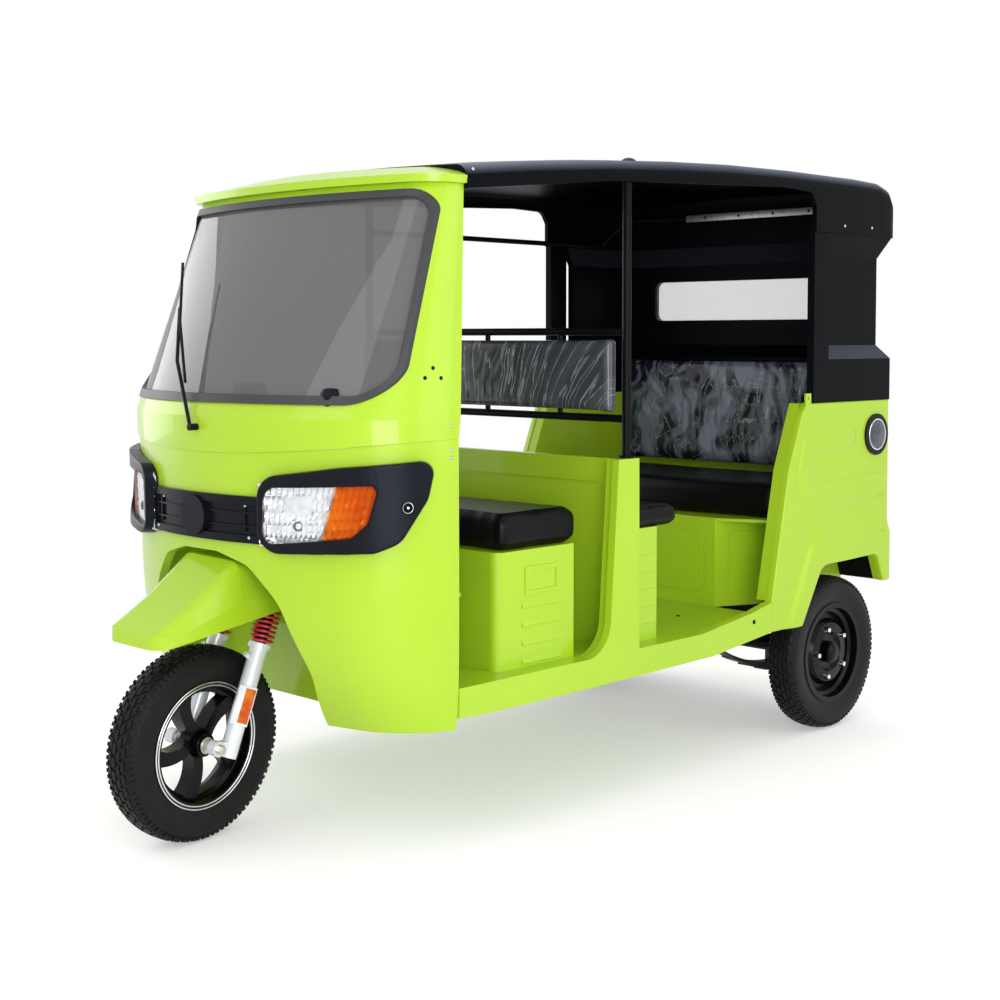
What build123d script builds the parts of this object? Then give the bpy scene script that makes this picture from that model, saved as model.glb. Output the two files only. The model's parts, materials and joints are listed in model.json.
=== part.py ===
from build123d import *

from math import atan2, cos, pi, radians, sin, sqrt
import os

os.makedirs("parts", exist_ok=True)

# Auto rickshaw: three-wheel passenger vehicle with a green body and a black hard roof.
# X points forward, Y to the left, Z up. The origin is on the ground under the middle of the vehicle.

# Wheels and steering
wheelbase = 2140
rear_axle_x = -1044
front_axle_x = rear_axle_x + wheelbase
track = 1036
tyre_r = 254
tyre_w = 102
rim_lip_r = 166
rim_w = 94
hub_r = 30
axle_r = 8
rake = 21
steer_at_rest = 7
fork_offset = 50
leg_y = 82
run_gap = 0.3

# Body
half_w = 584
wall = 26
sheet = 3
floor_z = 420
floor_t = 5
sill_z = 340
cab_rear_x = 700
pillar_top_x = 622
seam_z = 1010
seam_rise = 38
roof_front_z = 1727
cab_top_z = 1690
waist_z = 1090
body_rear_x = -1341
jamb_x = -660
shell_front_x = -874
shell_top_z = 1640
bulkhead_x = 0
bulkhead_t = 28
bulkhead_top_z = 958
post_x = 16
rail_y = 300
rail_z0 = 352
riser_x = 672
riser_y = 150
riser_r = 16
post_y = 553
post_r = 13

# Nose outline, one row a level: height, nose x, front arc radius, corner radius, half width
lower_rows = [
    (314, 928, 1500, 230, half_w - 6),
    (450, 1008, 1200, 250, half_w - 2),
    (780, 1070, 950, 280, half_w),
    (1100, 1082, 950, 280, half_w),
]
upper_rows = [
    (1100, 1082, 950, 280, half_w),
    (cab_top_z, 795, 1700, 110, 522),
]
visor_rows = [
    (cab_top_z + run_gap, 815, 1700, 120, 534),
    (cab_top_z + 20, 818, 1700, 120, 536),
    (cab_top_z + 52, 720, 900, 200, 470),
]
nose_back_x = 380


def plan_face(z, nose, front_r, corner_r, half):
    """Plan outline of the nose: a wide front arc, two corner arcs and straight sides."""
    corner_y = half - corner_r
    front_c = nose - front_r
    corner_x = front_c + sqrt((front_r - corner_r) ** 2 - corner_y**2)
    a = atan2(corner_y, corner_x - front_c)
    join = (front_c + front_r * cos(a), front_r * sin(a))
    b = (a + pi / 2) / 2
    mid = (corner_x + corner_r * cos(b), corner_y + corner_r * sin(b))
    with BuildSketch(Plane.XY.offset(z)) as outline:
        with BuildLine():
            ThreePointArc((join[0], -join[1]), (nose, 0), join)
            ThreePointArc(join, mid, (corner_x, half))
            Line((corner_x, half), (nose_back_x, half))
            Line((nose_back_x, half), (nose_back_x, -half))
            Line((nose_back_x, -half), (corner_x, -half))
            ThreePointArc((corner_x, -half), (mid[0], -mid[1]), (join[0], -join[1]))
        make_face()
    return outline.sketch


def nose_loft(rows, grow, mode=Mode.ADD, ruled=False):
    """Solid nose through the rows, each grown outward by the same amount."""
    faces = [plan_face(z, n + grow, f + grow, c + grow, h + grow) for z, n, f, c, h in rows]
    loft(sections=faces, ruled=ruled, mode=mode)


def side_prism(points, y0, y1, radii=(), mode=Mode.ADD):
    """Prism with an outline in X and Z, from y0 to y1. Radii are (corner number, radius)."""
    with BuildSketch(Plane.XZ.offset(-y0)) as outline:
        with BuildLine():
            Polyline(*points, close=True)
        make_face()
        for number, radius in radii:
            corner = outline.vertices().sort_by_distance(points[number])[0]
            fillet(corner, radius)
    extrude(outline.sketch, amount=y0 - y1, mode=mode)


def front_prism(points, x0, x1, radii=(), mode=Mode.ADD):
    """Prism with an outline in Y and Z, from x0 to x1."""
    with BuildSketch(Plane.YZ.offset(x0)) as outline:
        with BuildLine():
            Polyline(*points, close=True)
        make_face()
        for number, radius in radii:
            corner = outline.vertices().sort_by_distance(points[number])[0]
            fillet(corner, radius)
    extrude(outline.sketch, amount=x1 - x0, mode=mode)


def block(x0, x1, y0, y1, z0, z1, mode=Mode.ADD):
    """Box between two corners."""
    with Locations(((x0 + x1) / 2, (y0 + y1) / 2, (z0 + z1) / 2)):
        Box(x1 - x0, y1 - y0, z1 - z0, mode=mode)


def rod(p, q, radius, mode=Mode.ADD):
    """Round bar from one point to another."""
    run = Vector(q) - Vector(p)
    with Locations(Plane(origin=p, z_dir=run)):
        Cylinder(radius, run.length, align=(Align.CENTER, Align.CENTER, Align.MIN), mode=mode)


def bent_bar(points, radius):
    """Round bar through the points, with a ball at each bend."""
    for p, q in zip(points, points[1:]):
        rod(p, q, radius)
    for p in points[1:-1]:
        with Locations(p):
            Sphere(radius)


def turned(profile, x, y, side=1, mode=Mode.ADD):
    """Ring turned about an axle at x, y. The profile is (radius, distance outward)."""
    with BuildSketch(Plane(origin=(x, y, tyre_r), x_dir=(0, 0, 1), z_dir=(-1, 0, 0))) as outline:
        with BuildLine():
            Polyline(*[(r, w * side) for r, w in profile], close=True)
        make_face()
    revolve(outline.sketch, axis=Axis((x, y, tyre_r), (0, 1, 0)), mode=mode)


def finish(piece, label, steered=False):
    """Name a piece, turn it with the steering if it is steered, and write it out."""
    solid = piece.rotate(steer_axis, steer_at_rest) if steered else piece
    solid.label = label
    export_step(solid, f"parts/{label}.step")


# Steering axis: raked back, it meets the ground ahead of the wheel's contact
steer_x = front_axle_x - fork_offset
rake_sin = sin(radians(rake))
rake_cos = cos(radians(rake))
tilt_dir = (-rake_sin, 0, rake_cos)
steer_axis = Axis((steer_x, 0, tyre_r), tilt_dir)


def on_fork(t, y=0, ahead=0):
    """Point t up the fork from the axle's height, y to the left and ahead of the steering axis."""
    return (
        steer_x - t * rake_sin + ahead * rake_cos,
        y,
        tyre_r + t * rake_cos + ahead * rake_sin,
    )


# Cab shell
cab_back = [
    (nose_back_x - 10, 200),
    (cab_rear_x, 200),
    (cab_rear_x, seam_z + seam_rise),
    (pillar_top_x, cab_top_z),
    (pillar_top_x, 1900),
    (nose_back_x - 10, 1900),
]
seam_r = half_w**2 / (2 * seam_rise) + seam_rise / 2


def seam_prism(lift, up, mode):
    """Region above or below the curved seam between the two cowls."""
    ends = seam_z + seam_rise * (half_w + 20) ** 2 / half_w**2
    far = 1900 if up else 200
    with BuildSketch(Plane.YZ.offset(nose_back_x - 10)) as outline:
        with BuildLine():
            ThreePointArc(
                (-half_w - 20, ends + lift), (0, seam_z + lift), (half_w + 20, ends + lift)
            )
            Line((half_w + 20, ends + lift), (half_w + 20, far))
            Line((half_w + 20, far), (-half_w - 20, far))
            Line((-half_w - 20, far), (-half_w - 20, ends + lift))
        make_face()
    extrude(outline.sketch, amount=900, mode=mode)


arch_top_z = 756
arch_low_half = 304
arch_half = 330
arch_rows = [(arch_low_half, 300), (arch_half, 455), (268, 640), (180, 728), (70, arch_top_z)]
arch_points = [(-y, z) for y, z in arch_rows] + [(y, z) for y, z in reversed(arch_rows)]
arch_radii = [(1, 120), (2, 150), (3, 90), (4, 90), (5, 90), (6, 90), (7, 150), (8, 120)]
well_back_x = 712
well_low_x = 790

with BuildPart() as lower_cowl:
    nose_loft(lower_rows, 0)
    nose_loft(lower_rows, -wall, mode=Mode.SUBTRACT)
    side_prism(cab_back, -700, 700, mode=Mode.SUBTRACT)
    seam_prism(-run_gap, True, Mode.SUBTRACT)
    front_prism(arch_points, 800, 1200, arch_radii, mode=Mode.SUBTRACT)
finish(lower_cowl.part, "lower_cowl")

# Windscreen opening as seen from the front, and the ring of its rubber seal
screen_points = [(-545, 1136), (545, 1136), (514, cab_top_z - 16), (-514, cab_top_z - 16)]
glass_points = [(-535, 1158), (535, 1158), (505, cab_top_z - 36), (-505, cab_top_z - 36)]
screen_radii = [(0, 95), (1, 95), (2, 62), (3, 62)]
glass_radii = [(0, 78), (1, 78), (2, 48), (3, 48)]
glass_t = 5

with BuildPart() as upper_cowl:
    nose_loft(lower_rows[2:], 0, ruled=True)
    nose_loft(upper_rows, 0, ruled=True)
    nose_loft(lower_rows[2:], -wall, mode=Mode.SUBTRACT, ruled=True)
    nose_loft(upper_rows, -wall, mode=Mode.SUBTRACT, ruled=True)
    side_prism(cab_back, -700, 700, mode=Mode.SUBTRACT)
    seam_prism(0, False, Mode.SUBTRACT)
    front_prism(screen_points, 640, 1200, screen_radii, mode=Mode.SUBTRACT)
finish(upper_cowl.part, "upper_cowl")

with BuildPart() as windscreen:
    front_prism(glass_points, 640, 1200, glass_radii)
    nose_loft(upper_rows, -6, mode=Mode.INTERSECT, ruled=True)
    nose_loft(upper_rows, -6 - glass_t, mode=Mode.SUBTRACT, ruled=True)
finish(windscreen.part, "windscreen")

with BuildPart() as windscreen_seal:
    front_prism(screen_points, 640, 1200, screen_radii)
    front_prism(glass_points, 640, 1200, glass_radii, mode=Mode.SUBTRACT)
    nose_loft(upper_rows, 6, mode=Mode.INTERSECT, ruled=True)
    nose_loft(upper_rows, -18, mode=Mode.SUBTRACT, ruled=True)
finish(windscreen_seal.part, "windscreen_seal")

with BuildPart() as sun_visor:
    nose_loft(visor_rows, 0, ruled=True)
    block(nose_back_x - 10, pillar_top_x, -700, 700, 1600, 1900, mode=Mode.SUBTRACT)
finish(sun_visor.part, "sun_visor")

# Roof: cap sections from front to rear: x, half width, edge height, crown rise, lip bottom
roof_t = 16
roof_corner = 46
roof_rows = [
    (pillar_top_x - run_gap, 538, roof_front_z + 14, 14),
    (370, 557, roof_front_z + 41, 21),
    (100, 574, roof_front_z + 64, 26),
    (-180, 583, roof_front_z + 82, 28),
    (-450, 589, roof_front_z + 94, 29),
    (-760, 593, roof_front_z + 100, 28),
    (body_rear_x + 200, 594, roof_front_z + 101, 25),
    (body_rear_x + 66, 594, roof_front_z + 97, 21),
    (body_rear_x + 16, 593, roof_front_z + 84, 18),
    (body_rear_x - 6, 590, roof_front_z + 58, 16),
]
roof_door = [
    (pillar_top_x + 20, 1600),
    (pillar_top_x + 20, roof_front_z - 52),
    (100, roof_front_z + 4),
    (-700, roof_front_z + 42),
    (shell_front_x + 26, roof_front_z + 38),
    (shell_front_x, roof_front_z - 4),
    (shell_front_x, 1600),
]


def roof_face(x, half, edge, crown, shrink):
    """Section across the roof: two lips, rounded corners and a gently crowned top."""
    h = half - shrink
    z = edge - shrink
    c = roof_corner - shrink
    k = c * (1 - sqrt(0.5))
    with BuildSketch(Plane.YZ.offset(x)) as outline:
        with BuildLine():
            Line((-h, shell_top_z), (-h, z - c))
            ThreePointArc((-h, z - c), (-h + k, z - k), (-h + c, z))
            ThreePointArc((-h + c, z), (0, z + crown), (h - c, z))
            ThreePointArc((h - c, z), (h - k, z - k), (h, z - c))
            Line((h, z - c), (h, shell_top_z))
            Line((h, shell_top_z), (-h, shell_top_z))
        make_face()
    return outline.sketch


with BuildPart() as roof:
    loft(sections=[roof_face(*row, 0) for row in roof_rows], ruled=True)
    inner_rows = [list(row) for row in roof_rows]
    inner_rows[0][0] += 1
    inner_rows[-1][0] += roof_t
    loft(sections=[roof_face(*row, roof_t) for row in inner_rows], ruled=True, mode=Mode.SUBTRACT)
    side_prism(roof_door, -700, 700, [(3, 60), (4, 40)], mode=Mode.SUBTRACT)
finish(roof.part, "roof")

# Rear shell: straight foot and front pillars, with a waist recess round the sides and the rear
shell_wall = 26
shell_inset = 35
shell_ledge_z = 1231
recess_front_x = -960
shell_half = half_w + 4
window_half = 395
window_z0 = 1366
window_z1 = 1511


def shell_band(shrink, mode=Mode.ADD):
    """Recessed band: full size at the ledge and at the top, inset in between."""
    rows = [(shell_ledge_z, 0), (shell_ledge_z + 45, shell_inset)]
    rows += [(shell_top_z - 71, shell_inset), (shell_top_z - run_gap, 0)]
    faces = []
    for z, inset in rows:
        y = shell_half - inset - shrink
        x0 = body_rear_x + inset + shrink
        with BuildSketch(Plane.XY.offset(z)) as outline:
            with Locations(((x0 + recess_front_x) / 2, 0)):
                Rectangle(recess_front_x - x0, 2 * y)
        faces.append(outline.sketch)
    loft(sections=faces, ruled=True, mode=mode)


with BuildPart() as rear_shell:
    block(body_rear_x, shell_front_x, -shell_half, shell_half, waist_z + run_gap, shell_ledge_z)
    block(recess_front_x, shell_front_x, -shell_half, shell_half, shell_ledge_z, shell_top_z - run_gap)
    shell_band(0)
    inside = shell_half - shell_wall
    block(body_rear_x + shell_wall, shell_front_x + 1, -inside, inside, 1000, shell_ledge_z, mode=Mode.SUBTRACT)
    block(recess_front_x, shell_front_x + 1, -inside, inside, shell_ledge_z, 1700, mode=Mode.SUBTRACT)
    shell_band(shell_wall, mode=Mode.SUBTRACT)
    with BuildSketch(Plane.YZ.offset(body_rear_x - 10)) as window:
        with Locations((0, (window_z0 + window_z1) / 2)):
            RectangleRounded(2 * window_half, window_z1 - window_z0, 28)
    extrude(window.sketch, amount=120, mode=Mode.SUBTRACT)
finish(rear_shell.part, "rear_shell")

with BuildPart() as rear_window:
    with BuildSketch(Plane.YZ.offset(body_rear_x + shell_inset + 10)) as pane:
        with Locations((0, (window_z0 + window_z1) / 2)):
            RectangleRounded(2 * window_half, window_z1 - window_z0, 28)
    extrude(pane.sketch, amount=4)
finish(rear_window.part, "rear_window")

# Quarter panels with wheel arch, flare, pressed field and the jamb of the doorway
quarter_t = 28
jamb_w = 60
door_low = (jamb_x, 474)
door_mid = (-748, 883)
door_top = (-832, waist_z)
arch = [(-812, 378), (-925, 562), (-1262, 568), (-1304, 470)]
flare = [(-752, 378), (-882, 640), (-1300, 645), (-1400, 645), (-1400, 470)]
quarter = [(jamb_x, 378), door_low, door_mid, door_top]
quarter += [(body_rear_x, waist_z), (body_rear_x, 470)]
quarter += [arch[3], arch[2], arch[1], arch[0]]
field = [(-838, 993), (-828, 768), (-1312, 784), (-1312, 866), (-1196, 870), (-1150, 1000)]
field_inner = [(-881, 947), (-872, 820), (-1290, 834), (-1290, 846), (-1172, 850), (-1118, 950)]
flare_out = 12
vent_x = -1257
vent_z = 974
vent_r = 70

with BuildPart() as quarter_panel:
    side_prism(quarter, half_w - quarter_t, half_w, [(3, 66), (7, 34), (8, 60)])
    jamb = [door_low, door_mid, door_top, (-862, waist_z), (-778, 883), (jamb_x - 32, 474)]
    side_prism(jamb, half_w - jamb_w, half_w - quarter_t)
    with BuildSketch(Plane(origin=(0, half_w, 0), x_dir=(1, 0, 0), z_dir=(0, 1, 0))) as band:
        with BuildLine():
            ring = [*flare, arch[3], arch[2], arch[1], arch[0]]
            Polyline(*[(x, -z) for x, z in ring], close=True)
        make_face()
        for point, radius in ((arch[1], 60), (arch[2], 34), (flare[1], 90)):
            fillet(band.vertices().sort_by_distance((point[0], -point[1]))[0], radius)
    extrude(band.sketch, amount=flare_out, taper=20)
    block(body_rear_x - 100, body_rear_x, 0, 700, 300, 1200, mode=Mode.SUBTRACT)
    side_prism(field, half_w - 2.5, half_w + 1, [(0, 56), (1, 40), (5, 30)], mode=Mode.SUBTRACT)
    side_prism(field_inner, half_w - 5, half_w + 1, [(0, 24), (1, 16), (5, 16)], mode=Mode.SUBTRACT)
    block(-868, -838, half_w - 6, half_w, waist_z - 10, waist_z + 32)
    with Locations(Plane(origin=(-853, half_w, waist_z + 17), z_dir=(0, 1, 0))):
        Cylinder(5, 20, mode=Mode.SUBTRACT)
    with Locations(Plane(origin=(vent_x, half_w - 6, vent_z), z_dir=(0, 1, 0))):
        Cylinder(vent_r + 8, 6, align=(Align.CENTER, Align.CENTER, Align.MIN))
with BuildPart() as quarter_panels:
    add(quarter_panel.part)
    mirror(about=Plane.XZ)
finish(quarter_panels.part, "quarter_panels")

# Round side vents with three slats each
with BuildPart() as vent:
    with Locations(Plane(origin=(vent_x, half_w + run_gap, vent_z), z_dir=(0, 1, 0))):
        Cylinder(vent_r, 9, align=(Align.CENTER, Align.CENTER, Align.MIN))
        Cylinder(vent_r - 16, 9, align=(Align.CENTER, Align.CENTER, Align.MIN), mode=Mode.SUBTRACT)
        Cylinder(vent_r - 15, 3, align=(Align.CENTER, Align.CENTER, Align.MIN))
    for z in (-30, -10, 10, 30):
        reach = sqrt((vent_r - 15) ** 2 - z**2) - 1
        block(vent_x - reach, vent_x + reach, half_w + 2, half_w + 7, vent_z + z - 3, vent_z + z + 3)
with BuildPart() as side_vents:
    add(vent.part)
    mirror(about=Plane.XZ)
finish(side_vents.part, "side_vents")

# Tail panel between the quarters, with a bare pressed field
tail_half = half_w - quarter_t - run_gap
with BuildPart() as tail_panel:
    block(body_rear_x, body_rear_x + quarter_t, -tail_half, tail_half, 470, waist_z)
    block(body_rear_x - 1, body_rear_x + 5, -260, 260, 560, 760, mode=Mode.SUBTRACT)
    block(body_rear_x - 1, body_rear_x + 5, -260, 260, 840, 1010, mode=Mode.SUBTRACT)
finish(tail_panel.part, "tail_panel")

with BuildPart() as tail_lamp:
    with BuildSketch(Plane.YZ.offset(body_rear_x)) as lamp:
        with Locations((430, 700)):
            RectangleRounded(120, 240, 30)
    extrude(lamp.sketch, amount=-8.4, taper=6)
with BuildPart() as tail_lamps:
    add(tail_lamp.part)
    mirror(about=Plane.XZ)
finish(tail_lamps.part, "tail_lamps")

# Floor pan with sills and the wheel well: a sheet that follows the nose, open over the front wheel
sill = [
    (cab_rear_x - 1, sill_z + 4),
    (610, sill_z),
    (167, sill_z),
    (-358, sill_z + 6),
    (jamb_x + 1, 377),
    (jamb_x + 1, 472),
    (-560, 452),
    (-300, floor_z),
    (cab_rear_x - 1, floor_z),
]
seat_front_x = -708
well_top_z = arch_top_z + 12
well_front_x = 1010
well_outline = [(well_low_x, 330), (well_low_x, 520), (well_back_x, well_top_z)]
well_outline += [(well_front_x, well_top_z), (well_front_x, 330)]
well_rear_half = 215
well_taper = (arch_half + 6 - well_rear_half) / (well_front_x - well_back_x)
stem_r = 15
top_t = (well_top_z - tyre_r) / rake_cos


def well_solid(grow):
    """Space for the front wheel: slanted at the back and wider towards the front."""
    with BuildPart() as space:
        back = [(x - grow if x < well_front_x else x + 60, z) for x, z in well_outline[:2]]
        back += [(well_back_x - grow, well_top_z + grow), (well_front_x + 60, well_top_z + grow)]
        back += [(well_front_x + 60, 330)]
        side_prism(back, -500, 500)
        x0 = well_back_x - 20
        x1 = well_front_x + 60
        y0 = well_rear_half + grow + well_taper * (x0 - well_back_x)
        y1 = well_rear_half + grow + well_taper * (x1 - well_back_x)
        with BuildSketch(Plane.XY.offset(300)) as plan:
            with BuildLine():
                Polyline((x0, -y0), (x0, y0), (x1, y1), (x1, -y1), close=True)
            make_face()
        extrude(plan.sketch, amount=600, mode=Mode.INTERSECT)
    return space.part


with BuildPart() as floor_pan:
    nose_loft(lower_rows, -wall - run_gap)
    block(nose_back_x - 10, 1200, -700, 700, floor_z - floor_t, floor_z, mode=Mode.INTERSECT)
    inner_y = half_w - quarter_t
    block(seat_front_x, cab_rear_x, -inner_y, inner_y, floor_z - floor_t, floor_z)
    side_prism(sill, inner_y, half_w)
    side_prism(sill, -half_w, -inner_y)
    add(well_solid(0), mode=Mode.SUBTRACT)
    with BuildPart(mode=Mode.PRIVATE) as well_sheet:
        add(well_solid(sheet))
        add(well_solid(0), mode=Mode.SUBTRACT)
        nose_loft(lower_rows, -wall - run_gap, mode=Mode.INTERSECT)
    add(well_sheet.part)
    rod(on_fork(top_t - 60), on_fork(top_t + 60), 34, mode=Mode.SUBTRACT)
    for side in (-1, 1):
        foot = (riser_x, side * riser_y, rail_z0)
        rod(foot, (riser_x, side * riser_y, floor_z + 1), riser_r + 1, mode=Mode.SUBTRACT)
finish(floor_pan.part, "floor_pan")

# Bulkhead behind the driver, pressed on its front face, and the two centre pillars
pillar_y = half_w - 24
pillar_in_y = half_w - 54
pillar_cap_z = bulkhead_top_z + 4
recess_half = 488
recess_top_z = 890
with BuildPart() as bulkhead:
    block(bulkhead_x, bulkhead_x + bulkhead_t, -pillar_y, pillar_y, floor_z, bulkhead_top_z)
    with BuildSketch(Plane.YZ.offset(bulkhead_x + bulkhead_t - 6)) as pressing:
        with Locations((0, (floor_z + 50 + recess_top_z) / 2)):
            RectangleRounded(2 * recess_half, recess_top_z - floor_z - 50, 48)
    extrude(pressing.sketch, amount=10, mode=Mode.SUBTRACT)
    for y0, y1, back, trim in ((pillar_y, half_w, -8, 0), (pillar_in_y, pillar_y, bulkhead_x, 12)):
        with BuildSketch(Plane.XZ.offset(-y0)) as outline:
            with BuildLine():
                Line((206 - trim, floor_z), (back, floor_z))
                Line((back, floor_z), (back / 2, pillar_cap_z))
                Line((back / 2, pillar_cap_z), (84 - trim, pillar_cap_z))
                Line((84 - trim, pillar_cap_z), (116 - trim, 520))
                ThreePointArc((116 - trim, 520), (142 - trim, 452), (206 - trim, floor_z))
            make_face()
        extrude(outline.sketch, amount=y0 - y1)
    mirror(about=Plane.XZ)
finish(bulkhead.part, "bulkhead")

# Posts up to the roof, with the frame of the driver's backrest between them
with BuildPart() as over_roof:
    block(-200, 200, -700, 700, shell_top_z, 2000)
    loft(
        sections=[roof_face(*row, roof_t + run_gap) for row in inner_rows],
        ruled=True,
        mode=Mode.SUBTRACT,
    )
with BuildPart() as post_frame:
    for side in (-1, 1):
        y = side * post_y
        rod((post_x, y, pillar_cap_z + run_gap), (post_x, y, roof_front_z + 90), post_r)
        rod((post_x, y, pillar_cap_z + run_gap), (post_x, y, pillar_cap_z + 6), post_r + 9)
    add(over_roof.part, mode=Mode.SUBTRACT)
    for z in (1072, 1318):
        rod((post_x, -post_y, z), (post_x, post_y, z), 11)
    for y in (-300, 0, 300):
        rod((post_x, y, 1072), (post_x, y, 1318), 8)
finish(post_frame.part, "post_frame")

with BuildPart() as driver_backrest:
    between = post_y - post_r - run_gap
    block(post_x + 8 + run_gap, post_x + 56, -between, between, 1087, 1302)
    fillet(driver_backrest.edges().filter_by(Axis.Y), 16)
finish(driver_backrest.part, "driver_backrest")

# Seat boxes under the driver and behind the bulkhead: rear x, front x, top
seat_box_half = 520
box_t = 4
driver_box = (201, 501, 735)
jump_box = (-180, bulkhead_x, 750)
louvre_out = 5
louvre_step = 50
louvre_rows = [(252, 407, 428, 4), (-150, -60, 470, 5)]
with BuildPart() as seat_boxes:
    for x0, x1, top, corner_r, open_end in (*driver_box, 28, 1), (*jump_box, 24, 0):
        for inset, mode in ((0, Mode.ADD), (box_t, Mode.SUBTRACT)):
            with BuildSketch(Plane.XY.offset(floor_z - (1 if inset else 0))) as plan:
                with Locations(((x0 + x1) / 2, 0)):
                    Rectangle(x1 - x0 - 2 * inset, 2 * (seat_box_half - inset))
                fillet(plan.vertices().group_by(Axis.X)[-open_end], corner_r - inset)
            extrude(plan.sketch, amount=top - inset - floor_z, mode=mode)
    for side in (-1, 1):
        face_y = side * seat_box_half
        for x0, x1, z0, count in louvre_rows:
            for number in range(count):
                z = z0 + number * louvre_step
                ridge = [(face_y, z), (face_y + side * louvre_out, z + 2), (face_y, z + 18)]
                front_prism(ridge if side > 0 else ridge[::-1], x0, x1)
        y0, y1 = sorted((face_y, face_y + side * 3))
        block(262, 396, y0, y1, 612, 689)
        y0, y1 = sorted((face_y, face_y + side * 4))
        block(274, 384, y0, y1, 624, 677, mode=Mode.SUBTRACT)
finish(seat_boxes.part, "seat_boxes")

with BuildPart() as battery_pack:
    block(driver_box[0] + 40, driver_box[1] - 40, -450, 450, floor_z, floor_z + 235)
finish(battery_pack.part, "battery_pack")

# Bench cushions: rear x, front x, half width, box top, thickness, corner radius, edge radius
cushion_rows = [
    (165, 490, 530, driver_box[2], 100, 40, 26),
    (-260, bulkhead_x - run_gap, 545, jump_box[2], 61, 26, 18),
]
with BuildPart() as bench_cushions:
    for x0, x1, y, z, thick, corner, edge in cushion_rows:
        with BuildPart(mode=Mode.PRIVATE) as cushion:
            block(x0, x1, -y, y, z + run_gap, z + thick)
            fillet(cushion.edges().filter_by(Axis.Z), corner)
            fillet(cushion.faces().sort_by(Axis.Z)[-1].edges(), edge)
        add(cushion.part)
finish(bench_cushions.part, "bench_cushions")

rear_seat_z = 712
tub_half = 421
tail_in_x = body_rear_x + quarter_t
base_rear_x = tail_in_x + run_gap
seat_plan = [(seat_front_x, -324), (seat_front_x, 324), (-912, tub_half), (base_rear_x, tub_half)]
seat_plan += [(base_rear_x, -tub_half), (-912, -tub_half)]
with BuildPart() as rear_seat_base:
    with BuildSketch(Plane.XY.offset(floor_z)) as outline:
        with BuildLine():
            Polyline(*seat_plan, close=True)
        make_face()
    extrude(outline.sketch, amount=rear_seat_z - floor_z)
    with BuildSketch(Plane.XY.offset(floor_z)) as inner:
        with BuildLine():
            Polyline(*seat_plan, close=True)
        make_face()
        offset(amount=-box_t, mode=Mode.REPLACE)
    extrude(inner.sketch, amount=rear_seat_z - floor_z - box_t, mode=Mode.SUBTRACT)
    top_y = half_w - jamb_w - 1
    with BuildSketch(Plane.XY.offset(rear_seat_z - 10)) as top:
        with BuildLine():
            Polyline(
                (seat_front_x, -324),
                (seat_front_x, 324),
                (-800, top_y),
                (base_rear_x, top_y),
                (base_rear_x, -top_y),
                (-800, -top_y),
                close=True,
            )
        make_face()
    extrude(top.sketch, amount=10)
    slant = Vector(-912 - seat_front_x, tub_half - 324, 0)
    press_z = (floor_z + rear_seat_z) / 2
    middle = Vector(seat_front_x, 324, press_z) + slant / 2
    for side in (-1, 1):
        place = Plane(
            origin=(middle.X, side * middle.Y, press_z),
            x_dir=(slant.X, side * slant.Y, 0),
            z_dir=(slant.Y, -side * slant.X, 0),
        )
        with BuildSketch(place) as pressed:
            RectangleRounded(130, 200, 22)
        extrude(pressed.sketch, amount=3)
        with BuildSketch(Plane.YZ.offset(seat_front_x)) as pressed:
            with Locations((side * 160, press_z)):
                RectangleRounded(230, 200, 22)
        extrude(pressed.sketch, amount=3)
finish(rear_seat_base.part, "rear_seat_base")

with BuildPart() as rear_cushion:
    with BuildSketch(Plane.XY.offset(rear_seat_z + run_gap)) as outline:
        with BuildLine():
            Line((-1240, -500), (-1240, 500))
            Line((-1240, 500), (-800, 500))
            ThreePointArc((-800, 500), (-750, 0), (-800, -500))
            Line((-800, -500), (-1240, -500))
        make_face()
        fillet(outline.vertices(), 30)
    extrude(outline.sketch, amount=116)
    fillet(rear_cushion.faces().sort_by(Axis.Z)[-1].edges(), 26)
finish(rear_cushion.part, "rear_cushion")

with BuildPart() as rear_backrest:
    block(tail_in_x + run_gap, tail_in_x + 100, -500, 500, 832, 1230)
    fillet(rear_backrest.edges().filter_by(Axis.Y), 24)
finish(rear_backrest.part, "rear_backrest")

# Inner wheel houses over the rear tyres
house_gap = 7
with BuildPart() as wheel_houses:
    lip = [(-812 + 10, 380), (-925 + 8, 571), (-1262 - 5, 577), (-1304 - 8, 472)]
    core = [(-812 + 4, 370), (-925 + 5, 568), (-1262 - 2, 573), (-1304 - 6, 460), (-1050, 300)]
    side_prism(lip, tub_half + run_gap, half_w - quarter_t - run_gap)
    side_prism(core, tub_half, half_w, mode=Mode.SUBTRACT)
    mirror(about=Plane.XZ)
finish(wheel_houses.part, "wheel_houses")

# Lamps: bezel, bowl, clear lens and amber lens, drawn on a plane turned to the corner of the nose.
# Points are (distance along the plane, height).
lamp_turn = 45
lamp_origin = (1000, 420, 0)
bezel_out = 32
bezel_points = [(-172, 766), (128, 778), (190, 802), (256, 907), (276, 1003), (45, 986), (-172, 955)]
bezel_radii = (58, 60, 60, 60, 32, 0, 56)
opening_points = [(-155, 930), (137, 943), (110, 850), (70, 815), (-159, 789)]
opening_radii = (34, 16, 30, 26, 26)
split_slope = 0.279
lens_points = [(-200, 760), (-16.7, 760), (-16.7 + split_slope * 220, 980), (-200, 980)]
amber_points = [(-15.3, 760), (200, 760), (200, 980), (-15.3 + split_slope * 220, 980)]


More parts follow.
